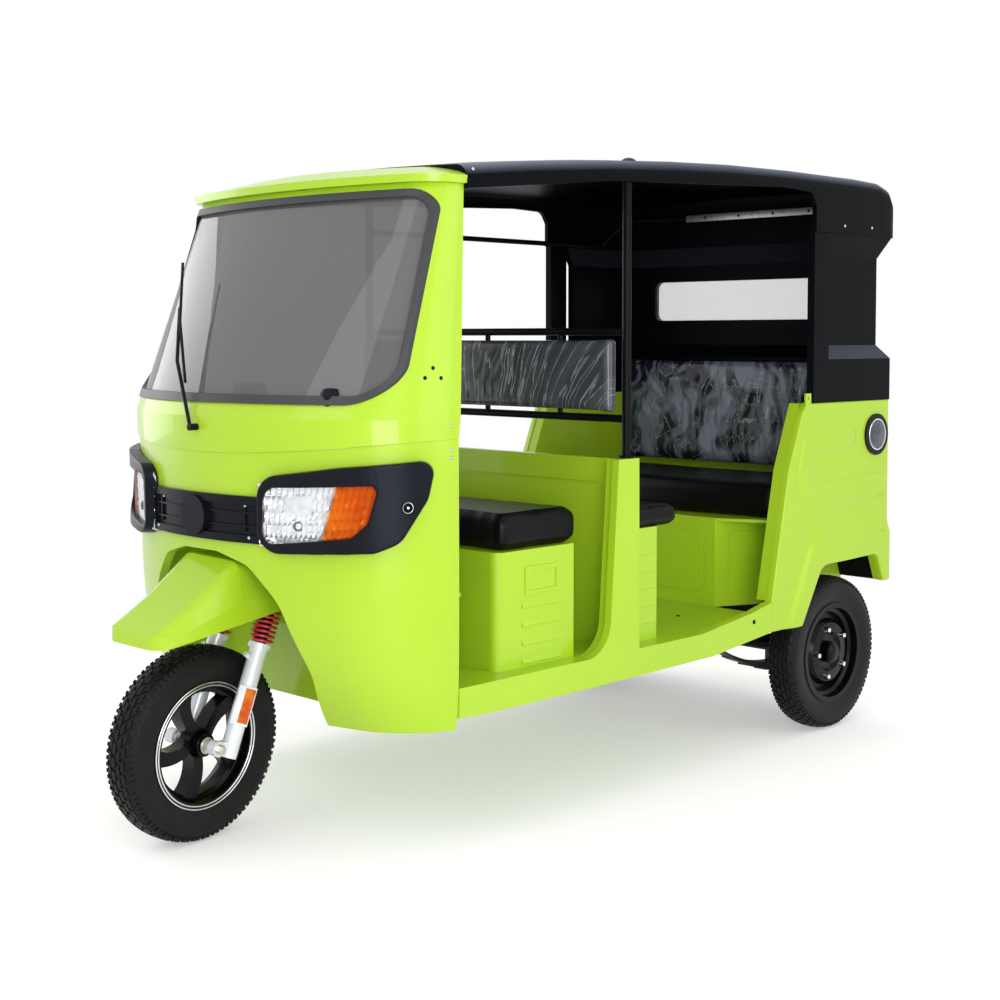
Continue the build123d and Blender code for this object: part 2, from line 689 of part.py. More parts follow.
def lamp_prism(points, radii=(), mode=Mode.ADD):
    """Prism through the left lamp along its own plane's normal, with a radius for each corner."""
    c = cos(radians(lamp_turn))
    plane = Plane(origin=lamp_origin, x_dir=(-c, c, 0), z_dir=(c, c, 0))
    with BuildSketch(plane.offset(-200)) as outline:
        with BuildLine():
            Polyline(*points, close=True)
        make_face()
        for point, radius in zip(points, radii):
            if radius:
                fillet(outline.vertices().sort_by_distance(point)[0], radius)
    extrude(outline.sketch, amount=420, mode=mode)


with BuildPart() as bezel:
    lamp_prism(bezel_points, bezel_radii)
    nose_loft(lower_rows, bezel_out, mode=Mode.INTERSECT)
    nose_loft(lower_rows, run_gap, mode=Mode.SUBTRACT)
    with BuildPart(mode=Mode.PRIVATE) as bowl:
        lamp_prism(opening_points, opening_radii)
        nose_loft(lower_rows, 5, mode=Mode.SUBTRACT)
    add(bowl.part, mode=Mode.SUBTRACT)
with BuildPart() as headlamp_bezels:
    add(bezel.part)
    mirror(about=Plane.XZ)
finish(headlamp_bezels.part, "headlamp_bezels")

for label, points, low, high in (
    ("headlamp_lenses", lens_points, 16, 20),
    ("indicator_lenses", amber_points, 16, 20),
):
    with BuildPart() as lamp:
        lamp_prism(points)
        lamp_prism(opening_points, opening_radii, mode=Mode.INTERSECT)
        nose_loft(lower_rows, high, mode=Mode.INTERSECT)
        nose_loft(lower_rows, low, mode=Mode.SUBTRACT)
    with BuildPart() as lamp_pair:
        add(lamp.part)
        mirror(about=Plane.XZ)
    finish(lamp_pair.part, label)

# Grille: a band between the lamps with a recess, two slats and a bare round disc
grille_half = 246
grille_z0 = 786
grille_z1 = 904
grille_mid = (grille_z0 + grille_z1) / 2
grille_rim = 20
disc_r = 52
band_out = 12


def grille_prism(half, z0, z1, x1=1200, mode=Mode.ADD):
    """Upright bar across the nose."""
    block(900, x1, -half, half, z0, z1, mode=mode)


with BuildPart() as grille:
    grille_prism(grille_half, grille_z0, grille_z1)
    nose_loft(lower_rows, band_out, mode=Mode.INTERSECT)
    with BuildPart(mode=Mode.PRIVATE) as pocket:
        grille_prism(grille_half - grille_rim, grille_z0 + grille_rim, grille_z1 - grille_rim)
        nose_loft(lower_rows, 3, mode=Mode.SUBTRACT)
    add(pocket.part, mode=Mode.SUBTRACT)
    with BuildPart(mode=Mode.PRIVATE) as slats:
        for z in (grille_mid - 17, grille_mid + 17):
            grille_prism(grille_half - grille_rim, z - 2.5, z + 2.5)
        for side in (-1, 1):
            y = side * (grille_half - 62)
            block(900, 1200, y - 3, y + 3, grille_mid - 30, grille_mid + 30)
        nose_loft(lower_rows, 9, mode=Mode.INTERSECT)
    add(slats.part)
    rod((1040, 0, grille_mid), (1092, 0, grille_mid), disc_r)
    with BuildPart(mode=Mode.PRIVATE) as nose_body:
        nose_loft(lower_rows, run_gap)
        lamp_prism(bezel_points, bezel_radii)
        mirror(about=Plane.XZ)
    add(nose_body.part, mode=Mode.SUBTRACT)
finish(grille.part, "grille")

# Wiper: pivot, arm and blade, parked towards the right of the screen
with BuildPart() as wiper:
    rod((1082, 10, 1072), (1106, 10, 1072), 9)
    bent_bar([(1102, 10, 1072), (1052, -120, 1240), (985, -205, 1380)], 5)
    bent_bar([(1068, -60, 1185), (1003, -178, 1345), (927, -275, 1505)], 4)
finish(wiper.part, "wiper")

# Dashboard shelf behind the windscreen's base
dash_z = 1062
dash_rear_x = 862
with BuildPart() as dashboard:
    nose_loft(lower_rows[2:], -wall - run_gap, ruled=True)
    block(dash_rear_x, 1200, -700, 700, dash_z - 22, dash_z, mode=Mode.INTERSECT)
finish(dashboard.part, "dashboard")

# Chassis: two rails, cross members, risers and tubes up to the head tube
rail_z1 = floor_z - floor_t - run_gap
rail_front_x = 690
rail_rear_x = body_rear_x + quarter_t + 2
head_low = 545
head_high = 690
head_r = 27
with BuildPart() as chassis_frame:
    for side in (-1, 1):
        y = side * rail_y
        block(rail_rear_x, rail_front_x, y - 22, y + 22, rail_z0, rail_z1)
    for x in (rail_front_x - 40, 230, -290, -690, rail_rear_x):
        block(x, x + 40, -rail_y, rail_y, rail_z0, rail_z1)
    for x in (600, 0, -560):
        for side in (-1, 1):
            y0, y1 = sorted((side * rail_y, side * (half_w - quarter_t - run_gap)))
            block(x, x + 40, y0, y1, rail_z0 + 20, rail_z1)
    rod(on_fork(head_low), on_fork(head_high), head_r)
    for side in (-1, 1):
        foot = (riser_x, side * riser_y, rail_z0 + 10)
        bent_bar([foot, (riser_x, side * riser_y, 806), on_fork(640, side * 14)], riser_r)
    rod(on_fork(head_low - 5), on_fork(head_high + 5), stem_r + run_gap, mode=Mode.SUBTRACT)
finish(chassis_frame.part, "chassis_frame")

# Rear axle: tube with motor and gear case, backing plates and stub shafts
hub_face = track / 2 - 64
with BuildPart() as rear_axle:
    rod((rear_axle_x, -hub_face, tyre_r), (rear_axle_x, hub_face, tyre_r), 29)
    rod((rear_axle_x, -track / 2 - 30, tyre_r), (rear_axle_x, track / 2 + 30, tyre_r), 12)
    for side in (-1, 1):
        rod(
            (rear_axle_x, side * (hub_face - 8), tyre_r),
            (rear_axle_x, side * hub_face, tyre_r),
            105,
        )
    rod((rear_axle_x, -70, tyre_r), (rear_axle_x, 70, tyre_r), 84)
    rod((rear_axle_x + 40, 0, tyre_r), (rear_axle_x + 330, 0, tyre_r + 20), 72)
finish(rear_axle.part, "rear_axle")

# Leaf springs under the axle, hung from the rails: reach ahead, reach behind
spring_y = 352
spring_top_z = tyre_r - 50
spring_rise = 100
leaf_t = 7
leaf_rows = [(390, 275), (300, 220), (210, 155), (120, 100)]
with BuildPart() as leaf_springs:
    for side in (-1, 1):
        y = side * spring_y
        for number, (ahead, behind) in enumerate(leaf_rows):
            z0 = spring_top_z - leaf_t * number
            za = z0 + spring_rise * (ahead / leaf_rows[0][0]) ** 2
            zb = z0 + spring_rise * (behind / leaf_rows[0][0]) ** 2
            xa = rear_axle_x + ahead
            xb = rear_axle_x - behind
            with BuildSketch(Plane.XZ.offset(-y - 24)) as leaf:
                with BuildLine():
                    ThreePointArc((xb, zb), (rear_axle_x, z0), (xa, za))
                    Line((xa, za), (xa, za - leaf_t))
                    ThreePointArc((xa, za - leaf_t), (rear_axle_x, z0 - leaf_t), (xb, zb - leaf_t))
                    Line((xb, zb - leaf_t), (xb, zb))
                make_face()
            extrude(leaf.sketch, amount=48)
        block(rear_axle_x - 45, rear_axle_x + 45, y - 30, y + 30, spring_top_z - 2, tyre_r - 10)
        block(rear_axle_x - 45, rear_axle_x + 45, y - 30, y + 30, spring_top_z - 36, spring_top_z - 26)
        for bolt in (-34, 34):
            for cheek in (-1, 1):
                x = rear_axle_x + bolt
                rod((x, y + cheek * 27, spring_top_z - 34), (x, y + cheek * 27, spring_top_z), 5)
        for reach in (leaf_rows[0][0], -leaf_rows[0][1]):
            x = rear_axle_x + reach
            z = spring_top_z + spring_rise * (reach / leaf_rows[0][0]) ** 2
            rod((x, y - 27, z), (x, y + 27, z), 15)
            for cheek in (-1, 1):
                yc = y + cheek * 27
                block(x - 18, x + 18, yc - 3, yc + 3, z - 14, rail_z0 + 30)
            block(x - 18, x + 18, y - 29, y + 29, rail_z0 + 24, rail_z0 + 30)
    rod((rear_axle_x, -600, tyre_r), (rear_axle_x, 600, tyre_r), 29.3, mode=Mode.SUBTRACT)
finish(leaf_springs.part, "leaf_springs")

# Wheels: (radius, distance outward) profiles shared by the three
tyre_half = [
    (tyre_r, 3), (tyre_r - 1, 20), (tyre_r - 4.5, 36), (tyre_r - 13, tyre_w / 2 - 5),
    (tyre_r - 32, tyre_w / 2), (200, tyre_w / 2 - 1), (rim_lip_r + 1.5, rim_w / 2 - 3.5),
    (rim_lip_r - 10, rim_w / 2 - 10),
]
tyre_profile = [(r, -w) for r, w in reversed(tyre_half)] + tyre_half
rim_outer = [
    (rim_lip_r, rim_w / 2), (rim_lip_r, rim_w / 2 - 4), (rim_lip_r - 11, rim_w / 2 - 7),
    (rim_lip_r - 15, 20), (rim_lip_r - 25, 14),
]
rim_inner = [(134, 16), (rim_lip_r - 21, 23), (rim_lip_r - 17, rim_w / 2 - 1)]
rim_profile = rim_outer + [(r, -w) for r, w in reversed(rim_outer)]
rim_profile += [(r, -w) for r, w in reversed(rim_inner)] + rim_inner
disc_profile = [
    (134, -6), (138, -6), (138, 8), (112, 14), (98, 30), (66, 34), (56, 22), (13, 22),
    (13, 14), (60, 14), (70, 26), (94, 22), (108, 6), (134, 0),
]
drum_profile = [(16, -54), (100, -54), (104, -50), (104, -16), (60, -12), (60, 14), (16, 14)]
nut_count = 5
nut_ring = 82
for side, label in ((1, "left"), (-1, "right")):
    wheel_y = side * track / 2
    with BuildPart() as tyre:
        turned(tyre_profile, rear_axle_x, wheel_y, side)
    finish(tyre.part, f"rear_tyre_{label}")
    with BuildPart() as wheel:
        turned(rim_profile, rear_axle_x, wheel_y, side)
        turned(disc_profile, rear_axle_x, wheel_y, side)
        turned(drum_profile, rear_axle_x, wheel_y, side)
        for number in range(nut_count):
            a = 2 * pi * number / nut_count
            x = rear_axle_x + nut_ring * cos(a)
            z = tyre_r + nut_ring * sin(a)
            rod((x, wheel_y + side * 28, z), (x, wheel_y + side * 47, z), 9)
        rod(
            (rear_axle_x, wheel_y + side * 16, tyre_r),
            (rear_axle_x, wheel_y + side * 44, tyre_r),
            36,
        )
        rod(
            (rear_axle_x, wheel_y - side * 70, tyre_r),
            (rear_axle_x, wheel_y + side * 31, tyre_r),
            12 + run_gap,
            mode=Mode.SUBTRACT,
        )
    finish(wheel.part, f"rear_wheel_{label}")

with BuildPart() as front_tyre:
    turned(tyre_profile, front_axle_x, 0)
finish(front_tyre.part, "front_tyre", steered=True)

spoke_count = 5
spoke_w = 36
with BuildPart() as front_wheel:
    turned(rim_profile, front_axle_x, 0)
    hub = [(axle_r + run_gap, 42), (hub_r, 42), (hub_r + 8, 20)]
    turned(hub + [(r, -w) for r, w in reversed(hub)], front_axle_x, 0)
    for number in range(spoke_count):
        a = 360 / spoke_count * number
        turn = (cos(radians(a)), 0, sin(radians(a)))
        spoke_plane = Plane(origin=(front_axle_x, 22, tyre_r), x_dir=turn, z_dir=(0, 1, 0))
        with BuildSketch(spoke_plane) as spoke:
            with BuildLine():
                ThreePointArc((30, -spoke_w / 2), (86, -spoke_w / 2 + 20), (140, -spoke_w / 2 + 4))
                Line((140, -spoke_w / 2 + 4), (140, spoke_w / 2 + 14))
                ThreePointArc((140, spoke_w / 2 + 14), (86, spoke_w / 2 + 18), (30, spoke_w / 2))
                Line((30, spoke_w / 2), (30, -spoke_w / 2))
            make_face()
        extrude(spoke.sketch, amount=-44)
finish(front_wheel.part, "front_wheel", steered=True)

# Fork: sliders with axle lugs, springs, stanchions with crown, stem and handlebar
slider_r = 23.5
slider_low = -34
collar_t = 268
spring_top = 455
with BuildPart() as fork_sliders:
    for side in (-1, 1):
        y = side * leg_y
        rod(on_fork(slider_low, y), on_fork(collar_t - 14, y), slider_r)
        rod(on_fork(collar_t - 14, y), on_fork(collar_t, y), 31)
        rod((front_axle_x, y - 14, tyre_r), (front_axle_x, y + 14, tyre_r), 20)
        block(front_axle_x - fork_offset, front_axle_x, y - 12, y + 12, tyre_r - 14, tyre_r + 14)
        rod(on_fork(222, y, 15), on_fork(232, y, 42), 7)
        rod(on_fork(collar_t - 90, y), on_fork(collar_t + 1, y), stem_r + 1, mode=Mode.SUBTRACT)
    rod((front_axle_x, -leg_y - 24, tyre_r), (front_axle_x, leg_y + 24, tyre_r), axle_r)
finish(fork_sliders.part, "fork_sliders", steered=True)

with BuildPart() as fork_springs:
    for side in (-1, 1):
        y = side * leg_y
        rod(on_fork(collar_t + run_gap, y), on_fork(spring_top, y), 26)
        turns = 8
        for number in range(turns):
            t = collar_t + 12 + (spring_top - collar_t - 24) * number / (turns - 1)
            rod(on_fork(t - 5, y), on_fork(t + 5, y), 35)
        rod(on_fork(collar_t - 5, y), on_fork(spring_top + 5, y), stem_r + 2, mode=Mode.SUBTRACT)
finish(fork_springs.part, "fork_springs", steered=True)

crown_t = spring_top + run_gap
guard_t = 3
guard_rear_x = 874
guard_top_z = 735
stem_top = 858
with BuildPart() as fork_crown:
    for side in (-1, 1):
        rod(on_fork(collar_t - 80, side * leg_y), on_fork(crown_t + 28, side * leg_y), stem_r)
    crown_plane = Plane(origin=on_fork(crown_t), x_dir=(rake_cos, 0, rake_sin), z_dir=tilt_dir)
    with BuildSketch(crown_plane):
        SlotCenterToCenter(2 * leg_y, 60, rotation=90)
    extrude(amount=28)
    rod(on_fork(crown_t), on_fork(stem_top), stem_r)
    for side in (-1, 1):
        y0, y1 = sorted((side * 40, side * 66))
        block(guard_rear_x + 6, guard_rear_x + 26, y0, y1, 700, guard_top_z - guard_t - run_gap)
finish(fork_crown.part, "fork_crown", steered=True)

with BuildPart() as handlebar:
    rod(on_fork(stem_top + run_gap, -26), on_fork(stem_top + run_gap, 26), 22)
    for side in (-1, 1):
        bend = on_fork(stem_top + 55, side * 140, -8)
        bent_bar([on_fork(stem_top, side * 26), bend, on_fork(stem_top + 50, side * 300, -95)], 11)
        rod(on_fork(stem_top + 54, side * 190, -35), on_fork(stem_top + 50, side * 312, -102), 16)
    rod(on_fork(stem_top - 30), on_fork(stem_top + run_gap), stem_r + 9)
    rod(on_fork(stem_top - 31), on_fork(stem_top + run_gap), stem_r, mode=Mode.SUBTRACT)
finish(handlebar.part, "handlebar", steered=True)

# Front mudguard: hood with soft folds and a turned lip. Rows from rear to front:
# x, edge half width, top half width, edge height, lip height, top height, fold radius
guard_front_x = 1304
guard_corner_r = 52
guard_rows = [
    (guard_rear_x, 134, 116, 602, 626, guard_top_z, 30),
    (1052, 130, 104, 576, 600, guard_top_z, 32),
    (1190, 119, 90, 556, 580, 640, 30),
    (guard_front_x, 107, 84, 540, 562, 574, 18),
]


def guard_face(x, edge_half, top_half, z0, lip, top, fold, inset=0, drop=0):
    """Section across the mudguard."""
    e = edge_half - inset
    h = top_half - inset
    points = [(-e, z0 - drop), (-e, lip - inset), (-h, top - inset)]
    points += [(-y, z) for y, z in reversed(points)]
    with BuildSketch(Plane.YZ.offset(x)) as outline:
        with BuildLine():
            Polyline(*points, close=True)
        make_face()
        for number in (2, 3):
            fillet(outline.vertices().sort_by_distance(points[number])[0], fold - inset)
    return outline.sketch


def guard_hood(inset, drop):
    """Solid hood, its front corners rounded in plan."""
    rows = [list(row) for row in guard_rows]
    rows[0][0] -= 1 if inset else 0
    with BuildPart() as hood:
        loft(sections=[guard_face(*row, inset, drop) for row in rows], ruled=True)
        with BuildSketch(Plane.XY.offset(400)) as plan:
            with BuildLine():
                x1 = guard_front_x - inset
                Polyline((800, -300), (800, 300), (guard_rear_x, 134 - inset), (x1, 107 - inset),
                         (x1, inset - 107), (guard_rear_x, inset - 134), close=True)
            make_face()
            for y in (inset - 107, 107 - inset):
                fillet(outline_corner(plan, x1, y), guard_corner_r - inset)
        extrude(plan.sketch, amount=500, mode=Mode.INTERSECT)
    return hood.part


def outline_corner(outline, x, y):
    """Corner of a sketch nearest to a point."""
    return outline.vertices().sort_by_distance((x, y))[0]


with BuildPart() as front_mudguard:
    add(guard_hood(0, 0))
    add(guard_hood(guard_t, 1), mode=Mode.SUBTRACT)
    rod(on_fork(crown_t), on_fork(top_t + 20), stem_r + 12, mode=Mode.SUBTRACT)
finish(front_mudguard.part, "front_mudguard", steered=True)

# Grab rail along the right side and across the rear wall, and the parking brake lever
rail_r = 9
rail_side_y = post_y - post_r - rail_r - run_gap
with BuildPart() as grab_rail:
    bent_bar(
        [
            (post_x, -rail_side_y, 1646),
            (-1120, -rail_side_y, 1646),
            (-1200, -470, 1745),
            (-1285, -300, 1745),
            (-1285, 520, 1745),
        ],
        rail_r,
    )
finish(grab_rail.part, "grab_rail")

with BuildPart() as brake_lever:
    bent_bar([(600, 400, floor_z + 8), (590, 400, 590), (524, 400, 618)], 9)
    block(575, 625, 380, 420, floor_z + run_gap, floor_z + 14)
finish(brake_lever.part, "brake_lever")
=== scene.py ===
import json
from math import cos, pi, radians, sin, sqrt

import bmesh
import bpy
from mathutils import Matrix, Vector, noise
from mathutils.bvhtree import BVHTree


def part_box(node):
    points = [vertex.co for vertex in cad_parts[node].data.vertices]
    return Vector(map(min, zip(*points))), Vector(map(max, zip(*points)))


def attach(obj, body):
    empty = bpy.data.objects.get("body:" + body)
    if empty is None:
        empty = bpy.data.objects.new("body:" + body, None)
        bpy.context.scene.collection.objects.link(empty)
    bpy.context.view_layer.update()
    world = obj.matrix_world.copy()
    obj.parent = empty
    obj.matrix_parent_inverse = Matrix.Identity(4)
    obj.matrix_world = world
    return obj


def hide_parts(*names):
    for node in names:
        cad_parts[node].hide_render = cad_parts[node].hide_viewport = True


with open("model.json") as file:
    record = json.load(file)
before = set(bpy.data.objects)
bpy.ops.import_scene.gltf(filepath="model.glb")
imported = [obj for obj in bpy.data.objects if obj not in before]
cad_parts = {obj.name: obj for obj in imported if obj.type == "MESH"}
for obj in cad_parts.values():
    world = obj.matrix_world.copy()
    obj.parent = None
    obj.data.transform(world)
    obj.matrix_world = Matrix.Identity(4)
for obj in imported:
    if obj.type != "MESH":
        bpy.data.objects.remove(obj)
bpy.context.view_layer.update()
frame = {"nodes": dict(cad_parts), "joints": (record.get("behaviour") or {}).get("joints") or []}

# Studio: a wide pale floor, a white surround and large soft lights, so that the
# gloss paint and the glass have something plain to mirror.
def placed(name, data):
    """New object in the scene."""
    made = bpy.data.objects.new(name, data)
    bpy.context.scene.collection.objects.link(made)
    return made


floor_reach = 16
floor_corners = [(x * floor_reach, y * floor_reach, 0) for x, y in ((-1, -1), (1, -1), (1, 1), (-1, 1))]
floor_mesh = bpy.data.meshes.new("studio_floor")
floor_mesh.from_pydata(floor_corners, [], [(0, 1, 2, 3)])
placed("studio_floor", floor_mesh)


def add_node(tree, kind, values=None, **settings):
    """New shader node with its settings, and its inputs set or linked by name or number."""
    made = tree.nodes.new(kind)
    for name, value in settings.items():
        setattr(made, name, value)
    for name, value in (values or {}).items():
        if isinstance(value, bpy.types.NodeSocket):
            tree.links.new(value, made.inputs[name])
        else:
            made.inputs[name].default_value = value
    return made


def calc(tree, operation, *values):
    """Result of a math node on outputs of other nodes or plain numbers."""
    return add_node(tree, "ShaderNodeMath", dict(enumerate(values)), operation=operation).outputs[0]


def ranged(tree, value, low, high, to_low=0.0, to_high=1.0):
    """A value stretched from one range to another."""
    values = {"Value": value, "From Min": low, "From Max": high, "To Min": to_low, "To Max": to_high}
    return add_node(tree, "ShaderNodeMapRange", values).outputs["Result"]


def mottle(tree, scale, detail, place=None):
    """Soft noise over the place."""
    values = {"Scale": scale, "Detail": detail}
    if place is not None:
        values["Vector"] = place
    return add_node(tree, "ShaderNodeTexNoise", values).outputs["Fac"]


def cleared(owner):
    """Empty node tree of a new material or surround."""
    owner.use_nodes = True
    owner.node_tree.nodes.clear()
    return owner.node_tree


def straight_view(tree):
    """Mask for what is seen straight, through glass or as a mirror image."""
    path = add_node(tree, "ShaderNodeLightPath").outputs
    seen = calc(tree, "MAXIMUM", path["Is Camera Ray"], path["Is Transmission Ray"])
    return calc(tree, "MAXIMUM", seen, path["Is Glossy Ray"])


floor_paper = bpy.data.materials.new("floor_paper")
tree = cleared(floor_paper)
mirrored = straight_view(tree)
paper_shade = ranged(tree, mottle(tree, 3.0, 3.0), 0.0, 1.0, 0.84, 0.88)
paper = add_node(tree, "ShaderNodeBsdfPrincipled", {"Base Color": paper_shade, "Roughness": 0.9})
glow = add_node(tree, "ShaderNodeEmission", {"Strength": calc(tree, "MULTIPLY", mirrored, 0.3)})
lifted = add_node(tree, "ShaderNodeAddShader", {0: paper.outputs["BSDF"], 1: glow.outputs[0]})
spot = add_node(tree, "ShaderNodeTexCoord").outputs["Object"]
reach = add_node(tree, "ShaderNodeVectorMath", {0: spot}, operation="LENGTH").outputs["Value"]
paper_reach, white_reach = 1.9, 3.0
cover = calc(tree, "MULTIPLY", ranged(tree, reach, paper_reach, white_reach), mirrored)
plain_white = add_node(tree, "ShaderNodeEmission", {"Strength": 1.0})
blend = add_node(tree, "ShaderNodeMixShader", {0: cover, 1: lifted.outputs[0], 2: plain_white.outputs[0]})
add_node(tree, "ShaderNodeOutputMaterial", {"Surface": blend.outputs[0]})
floor_mesh.materials.append(floor_paper)

surround = bpy.data.worlds.new("studio_surround")
bpy.context.scene.world = surround
tree = cleared(surround)
level = ranged(tree, straight_view(tree), 0.0, 1.0, 0.8, 1.0)
sky = add_node(tree, "ShaderNodeBackground", {"Color": (1.0, 1.0, 1.0, 1.0), "Strength": level})
add_node(tree, "ShaderNodeOutputWorld", {"Surface": sky.outputs["Background"]})

light_aim = Vector((0.2, 0, 0.8))
for name, place, size, power in (
    ("key_light", (4.6, 0.4, 4.2), 3.0, 38),
    ("side_light", (-1.2, 5.4, 2.2), 3.6, 55),
    ("door_light", (3.4, 4.6, 1.5), 2.4, 125),
    ("top_light", (-1.0, -0.6, 5.2), 3.0, 60),
    ("far_light", (1.5, -5.5, 2.0), 3.0, 60),
):
    lamp = bpy.data.lights.new(name, "AREA")
    lamp.size = size
    lamp.energy = power
    holder = placed(name, lamp)
    holder.location = place
    holder.rotation_mode = "QUATERNION"
    holder.rotation_quaternion = (light_aim - Vector(place)).to_track_quat("-Z", "Y")

# Camera: at eye height ahead of the left front corner, with a long lens. The small
# shift keeps the vehicle where it stands in the frame.
camera_turn = radians(44.0688)
camera_dip = radians(3.086)
camera_place = Vector((3.3652, 3.3628, 1.2987))
camera_flat = cos(camera_dip)
camera_way = Vector((-cos(camera_turn) * camera_flat, -sin(camera_turn) * camera_flat, -sin(camera_dip)))
lens = bpy.data.cameras.new("camera")
lens.sensor_width = 36
lens.lens = 55.778
lens.shift_x = -0.0163
lens.shift_y = -0.0781
lens.clip_end = 60
camera = placed("camera", lens)
camera.location = camera_place
camera.rotation_mode = "QUATERNION"
camera.rotation_quaternion = camera_way.to_track_quat("-Z", "Y")
bpy.context.scene.camera = camera
bpy.context.scene.view_settings.view_transform = "Standard"


# Body panels: pressed steel sheet sprayed in bright lime gloss, with faint uneven patches
# and the slight ripple of a sprayed coat.
def new_group(name, colours, numbers, results):
    """Empty shader group with colour and number inputs, and number results beside a colour."""
    group = bpy.data.node_groups.new(name, "ShaderNodeTree")
    for labels, way, kind in (
        (colours, "INPUT", "NodeSocketColor"), (numbers, "INPUT", "NodeSocketFloat"),
        (("Colour",), "OUTPUT", "NodeSocketColor"), (results, "OUTPUT", "NodeSocketFloat"),
    ):
        for label in labels:
            group.interface.new_socket(label, in_out=way, socket_type=kind)
    return group


def blended(tree, share, one, two):
    """Colour between one and two."""
    return add_node(tree, "ShaderNodeMix", {0: share, 6: one, 7: two}, data_type="RGBA").outputs[2]


def patchy_surface_with_top_sheen():
    """Group for every finish: two colours in patches, a painted sheen colour on upper faces, uneven gloss and
    a fine grain.
    """
    numbers = ("Patch scale", "Patch amount", "Roughness", "Roughness spread", "Grain scale", "Top sheen amount")
    colours = ("Colour", "Patch colour", "Top sheen colour")
    group = new_group("patchy_surface_with_top_sheen", colours, numbers, ("Roughness", "Height"))
    given = group.nodes.new("NodeGroupInput").outputs
    place = add_node(group, "ShaderNodeTexCoord").outputs["Object"]
    patches = mottle(group, given["Patch scale"], 5.0, place)
    amount = calc(group, "MULTIPLY", ranged(group, patches, 0.38, 0.72), given["Patch amount"])
    mixed = blended(group, amount, given["Colour"], given["Patch colour"])
    normal = add_node(group, "ShaderNodeNewGeometry").outputs["Normal"]
    upright = add_node(group, "ShaderNodeSeparateXYZ", {0: normal}).outputs["Z"]
    # Faces that point up take the top colour: painted sheen, light from above painted into the colour.
    top_sheen_share = calc(group, "MULTIPLY", ranged(group, upright, 0.35, 0.95), given["Top sheen amount"])
    uneven = calc(group, "SUBTRACT", patches, 0.5)
    add_node(group, "NodeGroupOutput", {
        "Colour": blended(group, top_sheen_share, mixed, given["Top sheen colour"]),
        "Roughness": calc(group, "MULTIPLY_ADD", uneven, given["Roughness spread"], given["Roughness"]),
        "Height": mottle(group, given["Grain scale"], 2.0, place),
    })
    return group


surface_group = patchy_surface_with_top_sheen()


def shaded(name, group, values, shading, bump=0.0):
    """Material of one shader that a group feeds, with the group's inputs and the shader's own values."""
    made = bpy.data.materials.new(name)
    tree = cleared(made)
    feed = tree.nodes.new("ShaderNodeGroup")
    feed.node_tree = group
    for key, value in values.items():
        feed.inputs[key].default_value = (*value, 1.0) if isinstance(value, tuple) else value
    wired = {"Base Color": feed.outputs["Colour"], **shading}
    if "Roughness" in feed.outputs:
        wired["Roughness"] = feed.outputs["Roughness"]
    if bump:
        raised = add_node(tree, "ShaderNodeBump", {"Distance": bump, "Height": feed.outputs["Height"]})
        wired["Normal"] = raised.outputs["Normal"]
    shader = add_node(tree, "ShaderNodeBsdfPrincipled", wired)
    add_node(tree, "ShaderNodeOutputMaterial", {"Surface": shader.outputs["BSDF"]})
    return made


def make_finish(name, colour, patch, roughness, metallic=0.0, coat=0.0, grain=400.0, bump=0.0002,
                spots=(3.0, 0.5), spread=0.1, specular=0.5, tint=(1.0, 1.0, 1.0), top=None):
    """Material of one finish, from the shared surface group; top is a painted sheen colour for faces that
    point up.
    """
    values = {
        "Colour": colour, "Patch colour": patch, "Patch scale": spots[0], "Patch amount": spots[1],
        "Roughness": roughness, "Roughness spread": spread, "Grain scale": grain,
        "Top sheen colour": top or colour, "Top sheen amount": 1.0 if top else 0.0,
    }
    shading = {"Metallic": metallic, "Coat Weight": coat, "Coat Roughness": 0.04,
               "Specular IOR Level": specular, "Specular Tint": (*tint, 1.0)}
    return shaded(name, surface_group, values, shading, bump)


lime_paint = make_finish("lime_paint", (0.39, 0.60, 0.02), (0.355, 0.56, 0.016), 0.3, coat=0.35, grain=260,
                         bump=0.00005, spread=0.06, specular=0.3)


def dress(material, *names):
    """Give CAD nodes their finish."""
    for name in names:
        for place in frame["nodes"][name].material_slots:
            place.material = material


dress(lime_paint, "lower_cowl", "upper_cowl", "sun_visor", "floor_pan", "bulkhead", "quarter_panels")
dress(lime_paint, "tail_panel", "seat_boxes", "rear_seat_base", "front_mudguard", "brake_lever")

# Black hard top: moulded roof and rear shell, black gloss outside and in. Faces that point up get a paler
# bluish colour, a painted reflection of the sky.
black_shell = make_finish("black_shell", (0.0018, 0.002, 0.003), (0.003, 0.0033, 0.005), 0.4, grain=300,
                          bump=0.00008, specular=0.05, tint=(0.8, 0.88, 1.0), top=(0.085, 0.1, 0.14))
dress(black_shell, "roof", "rear_shell")

# Frame tubes and the rear axle: welded steel in black enamel, satin and a little dusty. Leaf
# springs are bare dark steel, and small hardware is galvanised.
black_enamel = make_finish("black_enamel", (0.003, 0.003, 0.0035), (0.007, 0.0065, 0.006), 0.34, grain=500,
                           bump=0.0001, spots=(9.0, 0.6), specular=0.08)
dress(black_enamel, "post_frame", "chassis_frame", "rear_axle", "fork_crown", "handlebar", "wheel_houses")
dress(black_enamel, "grab_rail")
spring_steel = make_finish("spring_steel", (0.05, 0.05, 0.052), (0.1, 0.08, 0.06), 0.5, metallic=0.7,
                           grain=300, bump=0.0004, spots=(14.0, 0.6))
dress(spring_steel, "leaf_springs")
galvanised = make_finish("galvanised", (0.55, 0.56, 0.58), (0.36, 0.37, 0.39), 0.36, metallic=0.9,
                         grain=90, bump=0.0001, spots=(60.0, 0.8))
battery_case = make_finish("battery_case", (0.03, 0.03, 0.035), (0.05, 0.05, 0.05), 0.5, grain=300,
                           bump=0.0003)
dress(battery_case, "battery_pack")

